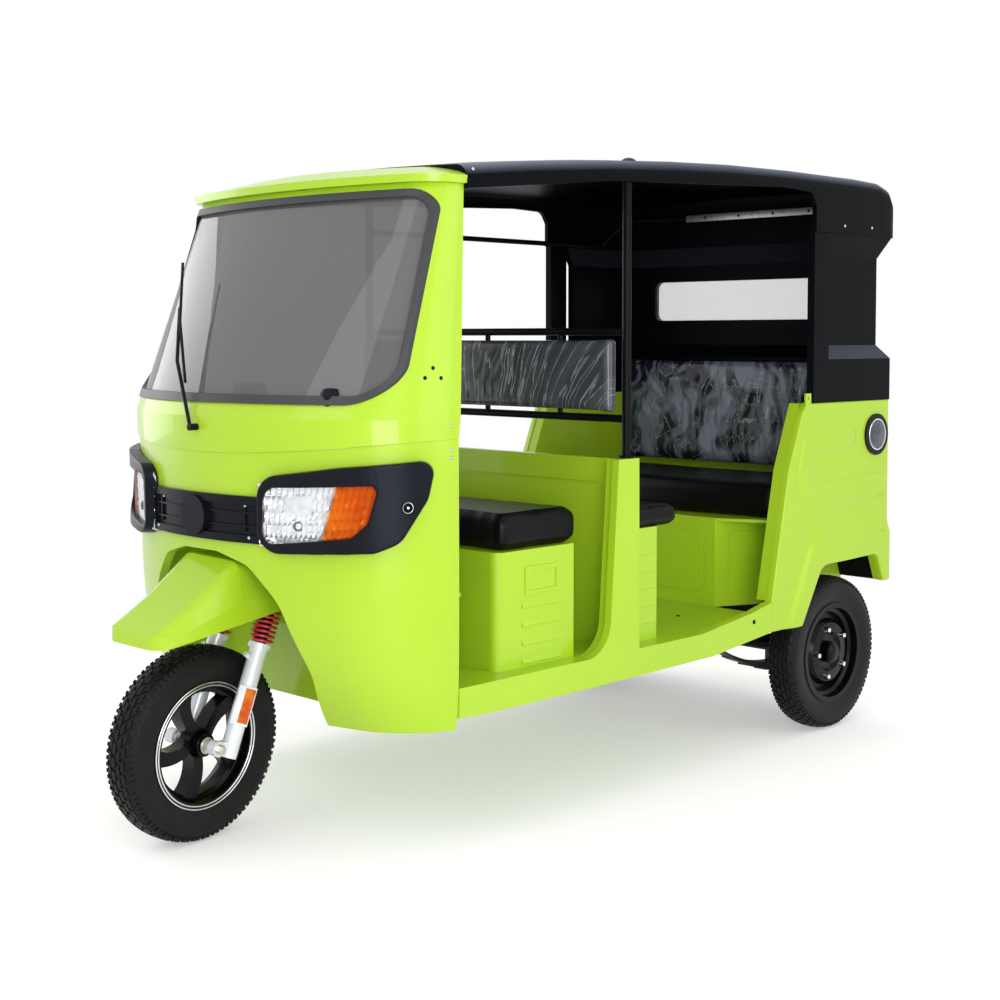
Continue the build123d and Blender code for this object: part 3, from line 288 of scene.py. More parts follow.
# Plastic trim: lamp bezels, grille, dashboard, wiper and side vents, moulded black with a
# fine grain. The screen's seal is black rubber.
black_trim = make_finish("black_trim", (0.006, 0.0065, 0.009), (0.01, 0.0105, 0.014), 0.3, grain=900,
                         bump=0.00008, spots=(6.0, 0.5), specular=0.12, tint=(0.75, 0.86, 1.0))
dress(black_trim, "headlamp_bezels", "grille", "dashboard", "wiper", "side_vents")
seal_rubber = make_finish("seal_rubber", (0.02, 0.021, 0.026), (0.035, 0.036, 0.044), 0.42, grain=600)
dress(seal_rubber, "windscreen_seal")
chrome = make_finish("chrome", (0.8, 0.81, 0.83), (0.7, 0.71, 0.73), 0.1, metallic=1.0, grain=200,
                     bump=0.00002)


# Windscreen and rear window: grey tinted glass held in a black rubber seal. Lamps have clear
# and amber plastic lenses, and the tail lamps are red.
def make_glass(name, tint, alpha, specular=0.5):
    """Thin tinted glass or clear plastic: a see-through skin with a sharp gloss."""
    values = {
        "Colour": tint, "Patch colour": tuple(c * 0.9 for c in tint), "Patch scale": 2.0, "Patch amount": 0.4,
        "Roughness": 0.02, "Roughness spread": 0.02, "Grain scale": 6.0,
    }
    return shaded(name, surface_group, values, {"Alpha": alpha, "Specular IOR Level": specular})


tinted_glass = make_glass("tinted_glass", (0.11, 0.11, 0.112), 0.84)
dress(tinted_glass, "windscreen")
rear_glass = make_glass("rear_glass", (0.5, 0.53, 0.58), 0.25)
dress(rear_glass, "rear_window")
lamp_clear = make_glass("lamp_clear", (0.85, 0.87, 0.9), 0.1)
dress(lamp_clear, "headlamp_lenses")
amber_lens = make_glass("amber_lens", (0.6, 0.05, 0.0), 0.3, specular=0.2)
dress(amber_lens, "indicator_lenses")
lamp_amber = make_finish("lamp_amber", (0.55, 0.07, 0.001), (0.85, 0.3, 0.004), 0.3, grain=420, bump=0.0008,
                         spots=(38.0, 1.0), specular=0.15)
lamp_red = make_finish("lamp_red", (0.45, 0.006, 0.008), (0.6, 0.02, 0.015), 0.1, coat=0.6, grain=160,
                       bump=0.001, spots=(40.0, 0.8))
dress(lamp_red, "tail_lamps")


# Tyres: black ribbed carcass with staggered tread blocks that run on to the shoulders.
# The blocks stand 4 mm out of the grooves and reach the CAD tyre's own radius.
def link_piece(name, mesh, material, body, smooth=True):
    """New piece from a mesh, with its finish and the body that it rides on."""
    mesh.materials.append(material)
    for face in mesh.polygons:
        face.use_smooth = smooth
    made = placed(name, mesh)
    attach(made, body)
    return made


def built(name, mesh_maker):
    """Mesh from what a mesh maker holds."""
    made = bpy.data.meshes.new(name)
    mesh_maker.to_mesh(made)
    mesh_maker.free()
    return made


def band(mesh_maker, one, two):
    """Closed band of faces between two rings of corners."""
    for k in range(len(one)):
        n = (k + 1) % len(one)
        mesh_maker.faces.new((one[k], one[n], two[n], two[k]))


tyre_rubber = make_finish("tyre_rubber", (0.006, 0.006, 0.0062), (0.014, 0.0135, 0.013), 0.46, grain=350,
                          bump=0.0003, spots=(16.0, 0.6), specular=0.14)
tyre_r = 0.254
groove = 0.004
tread_reach = 0.0465
section = [
    (0.156, 0.037), (0.1675, 0.0435), (0.185, 0.0475), (0.2, 0.05), (0.212, 0.0508), (0.222, 0.051),
    (0.232, 0.049), (0.241, 0.046), (0.2465, 0.0405), (0.2495, 0.036), (0.2518, 0.028), (0.253, 0.02),
    (0.2537, 0.011), (tyre_r, 0.0),
]


def crown_at(w):
    """Radius of the tread's outer face at a distance from the middle of the tyre."""
    w = abs(w)
    for (r1, w1), (r0, w0) in zip(section[6:], section[7:]):
        if w0 <= w <= w1:
            return r0 + (r1 - r0) * (w - w0) / (w1 - w0)
    return section[6][0]


def spun(r, w, a):
    """Point of a wheel about its own axle: radius, distance outward and angle."""
    return Vector((r * cos(a), w, r * sin(a)))


def tyre_mesh(name):
    """Carcass with the tread blocks joined to it."""
    mesh_maker = bmesh.new()
    half = [(r - (groove if w < tread_reach else 0.0), w) for r, w in section]
    ring = [(r, -w) for r, w in half] + [(r, w) for r, w in reversed(half[:-1])]
    ring += [(0.158, 0.034), (0.158, -0.034)]
    steps = 120
    rows = [[mesh_maker.verts.new(spun(r, w, 2 * pi * k / steps)) for r, w in ring] for k in range(steps)]
    for k in range(steps):
        band(mesh_maker, rows[k], rows[(k + 1) % steps])
    pitch_count = 46
    step = 2 * pi / pitch_count
    block_rows = [
        (-0.0085, 0.0072, 0.0, 0.80), (0.0085, 0.0072, 0.5, 0.80),
        (-0.0245, 0.0066, 0.4, 0.74), (0.0245, 0.0066, 0.9, 0.74),
        (-0.0395, 0.0068, 0.85, 0.64), (0.0395, 0.0068, 0.35, 0.64),
    ]
    for number in range(pitch_count):
        for w0, half_width, start, fill in block_rows:
            a0 = step * (number + start)
            half_a = step * fill / 2
            lean = 0.16 if w0 > 0 else -0.16
            outline = [
                (-1.0, -1.0), (-0.15, -0.8), (0.2, -1.05), (1.0, -0.9),
                (1.0, 0.95), (0.2, 0.8), (-0.15, 1.05), (-1.0, 0.9),
            ]
            base, top = [], []
            for u, v in outline:
                w = w0 + v * half_width
                a = a0 + (u + lean * v) * half_a
                base.append(mesh_maker.verts.new(spun(crown_at(w) - groove - 0.001, w, a)))
                w = w0 + v * half_width * 0.88
                a = a0 + (u * 0.9 + lean * v) * half_a
                top.append(mesh_maker.verts.new(spun(crown_at(w), w, a)))
            mesh_maker.faces.new(top)
            band(mesh_maker, base, top)
    lug_depth = 0.004
    lug = [(-0.3, 0.2465, 0.0445), (0.3, 0.2465, 0.0445), (0.22, 0.2365, 0.0492), (-0.22, 0.2365, 0.0492)]
    under = [(u, r - lug_depth, w - lug_depth) for u, r, w in lug]
    for number in range(pitch_count * 2):
        for side in (-1, 1):
            a0 = step / 2 * (number + 0.3)
            top = [mesh_maker.verts.new(spun(r, side * w, a0 + u * step / 2)) for u, r, w in lug]
            base = [mesh_maker.verts.new(spun(r, side * w, a0 + u * step / 2)) for u, r, w in under]
            mesh_maker.faces.new(top)
            band(mesh_maker, base, top)
    bmesh.ops.recalc_face_normals(mesh_maker, faces=mesh_maker.faces)
    return built(name, mesh_maker)


wheel_joints = {joint["name"]: joint for joint in frame["joints"]}


def wheel_frame(joint_name, side):
    """Matrix that carries a wheel from its own axle on to the vehicle."""
    joint = wheel_joints[joint_name]
    axle = Vector(joint["axis"]).normalized()
    turn = Vector((0, 1, 0)).rotation_difference(axle).to_matrix().to_4x4()
    flip = Matrix.Diagonal((1, side, 1, 1))
    return Matrix.Translation(joint["pos_m"]) @ turn @ flip


for label, joint_name, side, body, tyre_node in (
    ("front", "front_wheel_spin", 1, "front_wheel_body", "front_tyre"),
    ("rear_left", "rear_left_spin", 1, "rear_left_body", "rear_tyre_left"),
    ("rear_right", "rear_right_spin", -1, "rear_right_body", "rear_tyre_right"),
):
    name = label + "_treaded_tyre"
    tread = tyre_mesh(name)
    tread.transform(wheel_frame(joint_name, side))
    if side < 0:
        tread.flip_normals()
    tyre = link_piece(name, tread, tyre_rubber, body, smooth=False)
    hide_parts(tyre_node)

# Lamp reflectors: bright faceted plastic behind each lens. They lie over the nose, whose form
# they follow, and run a little way into the bezel.
reflector_bright = make_finish("reflector_bright", (0.86, 0.87, 0.89), (0.6, 0.62, 0.66), 0.16, metallic=0.85,
                               grain=140, bump=0.0006, spots=(26.0, 0.9))
reflector_amber = make_finish("reflector_amber", (1.0, 0.42, 0.015), (0.6, 0.035, 0.001), 0.25, metallic=0.5,
                              grain=120, bump=0.0006, spots=(11.0, 1.0), specular=0.2)
node_trees = {}


def cast(node, start, way):
    """First place where a line meets a CAD node, and the way that its surface faces there."""
    if node not in node_trees:
        mesh = frame["nodes"][node].data
        corners = [v.co.copy() for v in mesh.vertices]
        node_trees[node] = BVHTree.FromPolygons(corners, [tuple(face.vertices) for face in mesh.polygons])
    place, facing, _, _ = node_trees[node].ray_cast(Vector(start), Vector(way))
    if place is not None and facing.dot(way) > 0:
        facing = -facing
    return place, facing


def mirrored_in_y(point):
    """The same point on the other side of the vehicle."""
    return Vector((point[0], -point[1], point[2]))


lamp_face = Vector((sqrt(0.5), sqrt(0.5), 0))
lamp_across = Vector((-sqrt(0.5), sqrt(0.5), 0))


def on_lamp(u, z, out):
    """Point over the left lamp: distance across, height, and distance out from the nose."""
    start = Vector((1.0, 0.42, 0)) + lamp_across * u + Vector((0, 0, z)) + lamp_face * 0.3
    place, facing = cast("lower_cowl", start, -lamp_face)
    return place + facing * out


def faceted_patch(name, corners, columns, rows, shape, material, smooth=False):
    """Faceted sheet between four corners (across, height), on both lamps."""
    mesh_maker = bmesh.new()
    for mirror in (False, True):
        grid = []
        for i in range(columns + 1):
            line = []
            for j in range(rows + 1):
                s, t = i / columns, j / rows
                low_u, low_z = [corners[0][k] * (1 - s) + corners[1][k] * s for k in (0, 1)]
                top_u, top_z = [corners[3][k] * (1 - s) + corners[2][k] * s for k in (0, 1)]
                place = on_lamp(low_u * (1 - t) + top_u * t, low_z * (1 - t) + top_z * t, shape(i, j))
                line.append(mesh_maker.verts.new(mirrored_in_y(place) if mirror else place))
            grid.append(line)
        for i in range(columns):
            for j in range(rows):
                a, b, c, d = grid[i][j], grid[i + 1][j], grid[i + 1][j + 1], grid[i][j + 1]
                for corner in ((a, b, c), (a, c, d)) if (i + j) % 2 else ((a, b, d), (b, c, d)):
                    mesh_maker.faces.new(corner if mirror else tuple(reversed(corner)))
    link_piece(name, built(name, mesh_maker), material, "body", smooth)


facet_foot = 0.0068


def bright_facets(i, j):
    """Height of the clear lamp's facets: staggered steps with a little unevenness."""
    return facet_foot + 0.0062 * ((i + j // 3) % 2) + 0.002 * noise.noise(Vector((i * 1.7, j * 2.3, 0)))


def amber_facets(i, j):
    """Height of the indicator's facets: upright flutes."""
    flute = 0.0065 * (i % 2) * (0.4 + 0.6 * (j % 2))
    return facet_foot + flute + 0.0015 * noise.noise(Vector((i * 2.1, j * 1.3, 5)))



# Lamp bezels: the CAD pieces again with their moulded edges rounded off.
def remade(piece):
    """Give a piece the mesh that its modifiers make."""
    graph = bpy.context.evaluated_depsgraph_get()
    made = bpy.data.meshes.new_from_object(piece.evaluated_get(graph))
    piece.modifiers.clear()
    piece.data = made
    return made


def recoated(piece, material):
    """Give a remade piece its finish and smooth shading."""
    piece.data.materials.clear()
    piece.data.materials.append(material)
    for face in piece.data.polygons:
        face.use_smooth = True


def add_voxels(piece, size):
    """Remesh a piece in even small faces."""
    remesh = piece.modifiers.new("voxels", "REMESH")
    remesh.mode = "VOXEL"
    remesh.voxel_size = size


bezels = link_piece("rounded_bezels", frame["nodes"]["headlamp_bezels"].data.copy(), black_trim, "body")
weld = bezels.modifiers.new("weld", "WELD")
weld.merge_threshold = 0.00001
add_voxels(bezels, 0.0028)
rounding = bezels.modifiers.new("rounding", "SMOOTH")
rounding.iterations = 6
rounding.factor = 0.5
remade(bezels)
recoated(bezels, black_trim)
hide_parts("headlamp_bezels")

# Lamps in each bezel: a clear and an amber reflector that meet at a slanted line, and the
# headlamp's bulb in its black ring under a bright shield.
split_top, split_foot = 0.0345, -0.009
clear_corners = [(-0.168, 0.782), (split_foot, 0.79), (split_top, 0.948), (-0.168, 0.938)]
amber_corners = [(split_foot, 0.79), (0.118, 0.8), (0.147, 0.952), (split_top, 0.948)]
faceted_patch("headlamp_reflectors", clear_corners, 26, 15, bright_facets, reflector_bright)
faceted_patch("indicator_reflectors", amber_corners, 16, 12, amber_facets, reflector_amber)


def add_turned(mesh_maker, place, facing, profile, sides):
    """Turned solid that stands on a surface, from (radius, height) at its foot to its top."""
    turn = facing.to_track_quat("Z", "Y")
    rings = []
    for r, h in profile:
        ring = [Vector((r * cos(2 * pi * k / sides), r * sin(2 * pi * k / sides), h)) for k in range(sides)]
        rings.append([mesh_maker.verts.new(place + turn @ point) for point in ring])
    for one, two in zip(rings, rings[1:]):
        band(mesh_maker, one, two)
    mesh_maker.faces.new(rings[-1])
    mesh_maker.faces.new(list(reversed(rings[0])))


def fitted_heads(name, spots, profile, material, sides=20, both=True, smooth=True):
    """Like heads at each place, as one piece, and on the other side of the vehicle too."""
    mesh_maker = bmesh.new()
    for place, facing in spots:
        add_turned(mesh_maker, place, facing, profile, sides)
        if both:
            add_turned(mesh_maker, mirrored_in_y(place), mirrored_in_y(facing), profile, sides)
    piece = link_piece(name, built(name, mesh_maker), material, "body", smooth)
    piece.data.set_sharp_from_angle(angle=radians(40))


bulb_spot = [(on_lamp(-0.062, 0.838, 0.006), lamp_face)]
bulb_ring = [(0.013, 0), (0.013, 0.0085), (0.0105, 0.0095), (0.0085, 0.0085)]
fitted_heads("headlamp_bulb_rings", bulb_spot, bulb_ring, black_trim)
bulb_tip = [(0.0075, 0.008), (0.0072, 0.0095), (0.005, 0.0105), (0.002, 0.011)]
fitted_heads("headlamp_bulbs", bulb_spot, bulb_tip, chrome)


def flat_shield(i, j):
    """Height of the bulb's bright shield, a little crowned."""
    return 0.0145 - 0.0006 * ((i - 4) ** 2 / 16 + (j - 3) ** 2 / 9)


shield_corners = [(-0.092, 0.864), (-0.026, 0.866), (-0.022, 0.914), (-0.092, 0.91)]
faceted_patch("headlamp_shields", shield_corners, 8, 6, flat_shield, reflector_bright, smooth=True)


def pixel_way(x, y):
    """Way from the camera through a pixel of the photograph's 1000 by 1000 frame."""
    scale = lens.sensor_width / lens.lens
    flat = Vector(((x / 1000 - 0.5 + lens.shift_x) * scale, (0.5 - y / 1000 + lens.shift_y) * scale, -1.0))
    return (camera.rotation_quaternion @ flat).normalized()


def spots_on(node, *pixels):
    """Places and facings on a CAD node where pixels fall."""
    return [cast(node, camera_place, pixel_way(x, y)) for x, y in pixels]


# Small fittings on the nose: a ringed lock on each lamp bezel, and screws in the grille's ends.
lock_spot = spots_on("headlamp_bezels", (408, 508))
lock_cup = [(0.0165, -0.001), (0.0165, 0.001), (0.0155, 0.0016), (0.0145, 0.001)]
fitted_heads("bezel_lock_cups", lock_spot, lock_cup, black_shell, 32)
lock_ring = [(0.0135, 0.0005), (0.0135, 0.0016), (0.0125, 0.002), (0.0115, 0.0012), (0.0115, 0.0006)]
fitted_heads("bezel_lock_rings", lock_spot, lock_ring, chrome, 32)
lock_core = [(0.011, 0.0005), (0.011, 0.0022), (0.0085, 0.003)]
fitted_heads("bezel_lock_cores", lock_spot, lock_core, black_shell, 24)
lock_key = [(0.0032, 0.0025), (0.0032, 0.0035), (0.0015, 0.0042)]
fitted_heads("bezel_lock_tips", lock_spot, lock_key, chrome, 14)
screw_head = [(0.0042, -0.001), (0.0042, 0.0008), (0.0034, 0.002), (0.0014, 0.0026)]
grille_screws = spots_on("grille", (249, 538), (245, 506))
fitted_heads("grille_screws", grille_screws, screw_head, galvanised, 14)

# Rivets, screws and drilled holes in the body: bright domed rivets at the cowl's jamb and along
# the rear valance, dark screws in the sill and floor, and three drilled holes in each pillar.
rivet_head = [(0.0048, -0.001), (0.0048, 0.0006), (0.004, 0.0018), (0.0022, 0.0026), (0.0008, 0.0028)]
jamb_rivets = spots_on("lower_cowl", (451, 450), (451, 458)) + spots_on("upper_cowl", (451, 426))
fitted_heads("jamb_rivets", jamb_rivets, rivet_head, galvanised, 16)
valance_rivets = spots_on("roof", (845, 226), (872, 228), (473, 169))
fitted_heads("valance_rivets", valance_rivets, rivet_head, galvanised, 16)
hole_rim = [(0.0052, -0.001), (0.0052, 0.0003), (0.004, 0.0005)]
pillar_holes = spots_on("upper_cowl", (433, 368), (425, 378), (441, 378))
fitted_heads("pillar_drillings", pillar_holes, hole_rim, black_enamel, 16)
dark_screw = [(0.0075, -0.001), (0.0075, 0.001), (0.006, 0.0024), (0.003, 0.0028)]
sill_screws = spots_on("floor_pan", (754, 622), (678, 616), (600, 652))
fitted_heads("sill_screws", sill_screws, dark_screw, black_enamel, 6, smooth=False)
roof_knob = cast("roof", (-0.291, 0.3, 2.2), (0, 0, -1))
knob_shape = [(0.026, -0.003), (0.026, 0.002), (0.021, 0.008), (0.012, 0.0135), (0.004, 0.015)]
fitted_heads("roof_knob", [roof_knob], knob_shape, black_trim, 28, both=False)

# Rear quarter skins: the outer sheet of each quarter panel, with a soft arch flare, a pressed
# C-shaped field and rolled edges. It lies 2 mm over the CAD panel and ends 18 mm in.
skin_face = 0.584
skin_over = 0.002
skin_roll = 0.0062
skin_lip = 0.018
skin_steps = 144
skin_rear, skin_front = -1.3365, -0.6645
waist = 1.09
flare_top = 0.69
around = [(cos(k * pi / 4), sin(k * pi / 4)) for k in range(8)]


def panel_depth(x, z):
    """Outer face of the quarter panel at a place on the side, or 0 past its edge."""
    place, _ = cast("quarter_panels", (x, 0.8, z), (0, -1, 0))
    return place.y if place is not None and place.y > skin_face - 0.012 else 0


def well_inside(x, z):
    """True where the panel goes on all round a place."""
    reach = skin_roll - skin_over
    return z + reach < waist and all(panel_depth(x + reach * dx, z + reach * dz) for dx, dz in around)


def edge_height(x, inside, outside):
    """Height on a column where the panel ends."""
    for _ in range(13):
        middle = (inside + outside) / 2
        if well_inside(x, middle):
            inside = middle
        else:
            outside = middle
    return inside


def on_side(x, y):
    """Place on the quarter panel's plane where a pixel of the photograph falls, as (x, z)."""
    way = pixel_way(x, y)
    place = camera_place + way * ((skin_face - camera_place.y) / way.y)
    return Vector((place.x, place.z))


field_pixels = ((848, 436.5), (818, 440.5), (808.5, 448), (805, 474), (806, 489), (814, 496), (880, 483))
field_line = [on_side(*pixel) for pixel in field_pixels]
field_half, field_slope, field_rise = 0.042, 0.009, 0.0048


def field_height(x, z):
    """Height of the pressed field's band, which has soft sides."""
    here = Vector((x, z))
    near = 9.0
    for a, b in zip(field_line, field_line[1:]):
        share = min(max((here - a).dot(b - a) / (b - a).length_squared, 0.0), 1.0)
        near = min(near, (here - a - (b - a) * share).length)
    rise = min(max((field_half - near) / field_slope, 0.0), 1.0)
    return field_rise * rise * rise * (3 - 2 * rise)


def quarter_skin():
    """One quarter's sheet, as rows of places with y outward."""
    last = skin_steps
    rows = []
    depth = []
    for i in range(last + 1):
        x = skin_rear + (skin_front - skin_rear) * i / last
        middle = 0.75 if x < -0.8 else 0.41
        low_z = edge_height(x, middle, 0.36)
        high_z = edge_height(x, middle, 1.1)
        row = [(x, low_z + (high_z - low_z) * j / last) for j in range(last + 1)]
        line = []
        for x, z in row:
            near = [(x + r * dx, z + r * dz) for r in (0, 0.007, 0.013) for dx, dz in around]
            faces = [panel_depth(*spot) for spot in near] if z < flare_top else []
            line.append(max(faces + [skin_face]))
        rows.append(row)
        depth.append(line)
    for _ in range(22):
        depth = [[(depth[max(i - 1, 0)][j] + depth[min(i + 1, last)][j] + depth[i][max(j - 1, 0)]
                   + depth[i][min(j + 1, last)]) / 4 for j in range(last + 1)] for i in range(last + 1)]
    places = []
    for row, line in zip(rows, depth):
        places.append([])
        for (x, z), y in zip(row, line):
            panel = panel_depth(x, z) - 0.001 if z < 0.7 else 0
            places[-1].append(Vector((x, max(y, panel) + skin_over + field_height(x, z), z)))
    return places


skin_rows = quarter_skin()
mesh_maker = bmesh.new()
for mirror in (False, True):
    side = -1 if mirror else 1
    grid = [[mesh_maker.verts.new((x, side * y, z)) for x, y, z in row] for row in skin_rows]
    for i in range(skin_steps):
        for j in range(skin_steps):
            corners = (grid[i][j], grid[i][j + 1], grid[i + 1][j + 1], grid[i + 1][j])
            mesh_maker.faces.new(tuple(reversed(corners)) if mirror else corners)
    loop = [grid[i][0] for i in range(skin_steps)] + [grid[skin_steps][j] for j in range(skin_steps)]
    loop += [grid[i][skin_steps] for i in range(skin_steps, 0, -1)]
    loop += [grid[0][j] for j in range(skin_steps, 0, -1)]
    outward = []
    for k, v in enumerate(loop):
        along = loop[(k + 1) % len(loop)].co - loop[k - 1].co
        outward.append(Vector((along.z, 0, -along.x)).normalized())
    ring = loop
    for turn, lip in ((30, 0), (60, 0), (90, 0), (90, skin_lip)):
        sink = side * (skin_roll * (1 - cos(radians(turn))) + lip)
        wide = skin_roll * sin(radians(turn))
        places = [v.co + way * wide - Vector((0, sink, 0)) for v, way in zip(loop, outward)]
        new_ring = [mesh_maker.verts.new(place) for place in places]
        band(mesh_maker, *((ring, new_ring) if mirror else (new_ring, ring)))
        ring = new_ring
bmesh.ops.remove_doubles(mesh_maker, verts=mesh_maker.verts, dist=0.00002)
bmesh.ops.recalc_face_normals(mesh_maker, faces=mesh_maker.faces)
skins = link_piece("quarter_skins", built("quarter_skins", mesh_maker), lime_paint, "body")

# Round vents in the rear quarters: a black moulded rim from the CAD, with a chromed ring pressed
# in round a smoked plastic insert.
vent_low, vent_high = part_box("side_vents")
vent_spot = Vector(((vent_low[0] + vent_high[0]) / 2, vent_high[1] - 0.001, (vent_low[2] + vent_high[2]) / 2))
vent_spots = [(vent_spot, Vector((0, 1, 0)))]
smoked = make_finish("smoked_insert", (0.05, 0.055, 0.07), (0.13, 0.14, 0.17), 0.16, metallic=0.4, grain=120,
                     bump=0.0006, spots=(26.0, 1.0))
vent_dish = [(0.05, -0.004), (0.05, 0.002), (0.044, 0.0034), (0.034, 0.0046), (0.022, 0.0056), (0.01, 0.006)]
fitted_heads("side_vent_inserts", vent_spots, vent_dish + [(0.002, 0.0062)], smoked, 48)
vent_ring = [(0.0535, -0.002), (0.0535, 0.0026), (0.0515, 0.0036), (0.0495, 0.003), (0.0485, 0.001)]
fitted_heads("side_vent_rings", vent_spots, vent_ring, chrome, 48)

# Grab rail fitting: a drilled galvanised strip, screwed to the rear run under the roof.
def soft_block(name, size, matrix, material, body):
    """Small plate or block with eased edges."""
    mesh_maker = bmesh.new()
    bmesh.ops.create_cube(mesh_maker, size=1.0)
    for v in mesh_maker.verts:
        v.co = Vector([v.co[k] * size[k] for k in range(3)])
    edges = mesh_maker.edges[:]
    bmesh.ops.bevel(mesh_maker, geom=edges, offset=0.0015, segments=2, profile=0.5, affect="EDGES")
    made = built(name, mesh_maker)
    made.transform(matrix)
    piece = link_piece(name, made, material, body)
    piece.data.set_sharp_from_angle(angle=radians(40))


rail_low, rail_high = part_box("grab_rail")
strip_x = rail_low[0] + 0.0215
strip_z = rail_high[2] - 0.009
strip_size = (0.004, 0.72, 0.026)
strip_place = Matrix.Translation((strip_x, 0.12, strip_z))
soft_block("rear_rail_strip", strip_size, strip_place, galvanised, "body")
hole_x = rail_low[0] + 0.0235
strip_holes = [(Vector((hole_x, y, strip_z)), Vector((1, 0, 0))) for y in (-0.15, 0.0, 0.15, 0.3)]
fitted_heads("rear_rail_drillings", strip_holes, hole_rim, black_enamel, 16, both=False)

# Wheels: black cast and pressed rims. The front one has a bright machined lip on each
# side, and the rear ones have bright nuts.
wheel_black = make_finish("wheel_black", (0.0015, 0.0015, 0.002), (0.004, 0.004, 0.005), 0.22, grain=500,
                          bump=0.0001, spots=(12.0, 0.5), specular=0.16)
dress(wheel_black, "front_wheel", "rear_wheel_left", "rear_wheel_right")
bright_alloy = make_finish("bright_alloy", (0.75, 0.76, 0.78), (0.6, 0.61, 0.63), 0.22, metallic=1.0,
                           grain=500, bump=0.0001, spots=(30.0, 0.5))


def rim_ring(name, profile):
    """Ring turned about the wheel's axle from (radius, distance outward)."""
    steps = 96
    mesh_maker = bmesh.new()
    rows = [[mesh_maker.verts.new(spun(r, w, 2 * pi * k / steps)) for r, w in profile] for k in range(steps)]
    for k in range(steps):
        band(mesh_maker, rows[k], rows[(k + 1) % steps])
    bmesh.ops.recalc_face_normals(mesh_maker, faces=mesh_maker.faces)
    return built(name, mesh_maker)


outer_ring = [(0.1665, 0.0455), (0.1665, 0.048), (0.1645, 0.0492), (0.1622, 0.048), (0.1622, 0.0455)]
inner_ring = [(0.1585, 0.0455), (0.1585, 0.0472), (0.1562, 0.0482), (0.1538, 0.0468), (0.1538, 0.0448)]
for side, word in ((1, "left"), (-1, "right")):
    for part, profile in (("outer", outer_ring), ("inner", inner_ring)):
        name = "front_rim_" + part + "_" + word
        lip = rim_ring(name, profile)
        lip.transform(wheel_frame("front_wheel_spin", side))
        if side < 0:
            lip.flip_normals()
        link_piece(name, lip, bright_alloy, "front_wheel_body")


def axle_stack(name, joint_name, side, body, places, profile, sides, material, smooth=True):
    """Nuts, washers or caps that face outward from a wheel: places are (radius, angle, distance out)."""
    mesh_maker = bmesh.new()
    for r, a, w in places:
        add_turned(mesh_maker, spun(r, w, a), Vector((0, 1, 0)), profile, sides)
    made = built(name, mesh_maker)
    made.transform(wheel_frame(joint_name, side))
    if side < 0:
        made.flip_normals()
    piece = link_piece(name, made, material, body, smooth)
    piece.data.set_sharp_from_angle(angle=radians(35))


# Rear wheel nuts: five bright domed nuts on each pressed disc, and a dark cap on the hub.
nut_places = [(0.082, 2 * pi * k / 5, 0.0275) for k in range(5)]
cap_nut = [(0.0115, 0), (0.0115, 0.008), (0.0098, 0.011), (0.0095, 0.017), (0.007, 0.0215), (0.003, 0.023)]
hub_cap = [(0.032, 0), (0.032, 0.003), (0.026, 0.009), (0.014, 0.012), (0.004, 0.0125)]
cap_place = [(0, 0, 0.0435)]
for word, side in (("left", 1), ("right", -1)):
    joint_name = "rear_" + word + "_spin"
    body = "rear_" + word + "_body"
    axle_stack("rear_nuts_" + word, joint_name, side, body, nut_places, cap_nut, 12, chrome)
    name = "rear_hub_cap_" + word
    axle_stack(name, joint_name, side, body, cap_place, hub_cap, 32, wheel_black)

# Front fork: silver painted sliders, with red painted coil springs of round wire over the
# black stanchions.
slider_silver = make_finish("slider_silver", (0.76, 0.78, 0.81), (0.68, 0.7, 0.73), 0.3, metallic=0.1,
                            coat=0.3, bump=0.00008, spots=(10.0, 0.4))
dress(slider_silver, "fork_sliders")
spring_red = make_finish("spring_red", (0.5, 0.012, 0.03), (0.4, 0.01, 0.02), 0.28, coat=0.5, grain=300,
                         bump=0.0001, spots=(20.0, 0.5))
rake = radians(21)
fork_tilt = Vector((-sin(rake), 0, cos(rake)))
fork_ahead = Vector((cos(rake), 0, sin(rake)))
fork_foot = Vector((1.046, 0, 0.254))
to_foot = Matrix.Translation(fork_foot)
fork_turn = to_foot @ Matrix.Rotation(radians(7), 4, fork_tilt) @ to_foot.inverted()
leg_y = 0.082


def on_fork(t, y=0.0, ahead=0.0):
    """Point up the fork from the axle's height, to the left and ahead of the steering axis."""
    return fork_turn @ (fork_foot + fork_tilt * t + fork_ahead * ahead + Vector((0, y, 0)))


def wire_mesh(name, points, radius, sides=8):
    """Round wire through the points, as a closed tube."""
    mesh_maker = bmesh.new()
    rings = []
    up = Vector((0.31, 0.17, 0.93)).normalized()
    for k, here in enumerate(points):
        ahead = (points[min(k + 1, len(points) - 1)] - points[max(k - 1, 0)]).normalized()
        across = ahead.cross(up).normalized()
        up = across.cross(ahead)
        turns = [2 * pi * j / sides for j in range(sides)]
        ring = [here + across * radius * cos(a) + up * radius * sin(a) for a in turns]
        rings.append([mesh_maker.verts.new(place) for place in ring])
    for one, two in zip(rings, rings[1:]):
        band(mesh_maker, one, two)
    mesh_maker.faces.new(rings[0])
    mesh_maker.faces.new(rings[-1])
    bmesh.ops.recalc_face_normals(mesh_maker, faces=mesh_maker.faces)
    return built(name, mesh_maker)


coil_turns, turn_steps = 14, 20
coil_steps = coil_turns * turn_steps
coil_foot, coil_top = 0.2735, 0.4495
coil_r, wire_r = 0.0295, 0.0041
for side, word in ((1, "left"), (-1, "right")):
    points = []
    for k in range(coil_steps + 1):
        a = 2 * pi * k / turn_steps
        t = coil_foot + (coil_top - coil_foot) * (k / coil_steps)
        points.append(on_fork(t, side * leg_y + coil_r * sin(a), coil_r * cos(a)))
    name = "fork_coil_" + word
    coil = link_piece(name, wire_mesh(name, points, wire_r), spring_red, "steering")
    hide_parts("fork_springs")

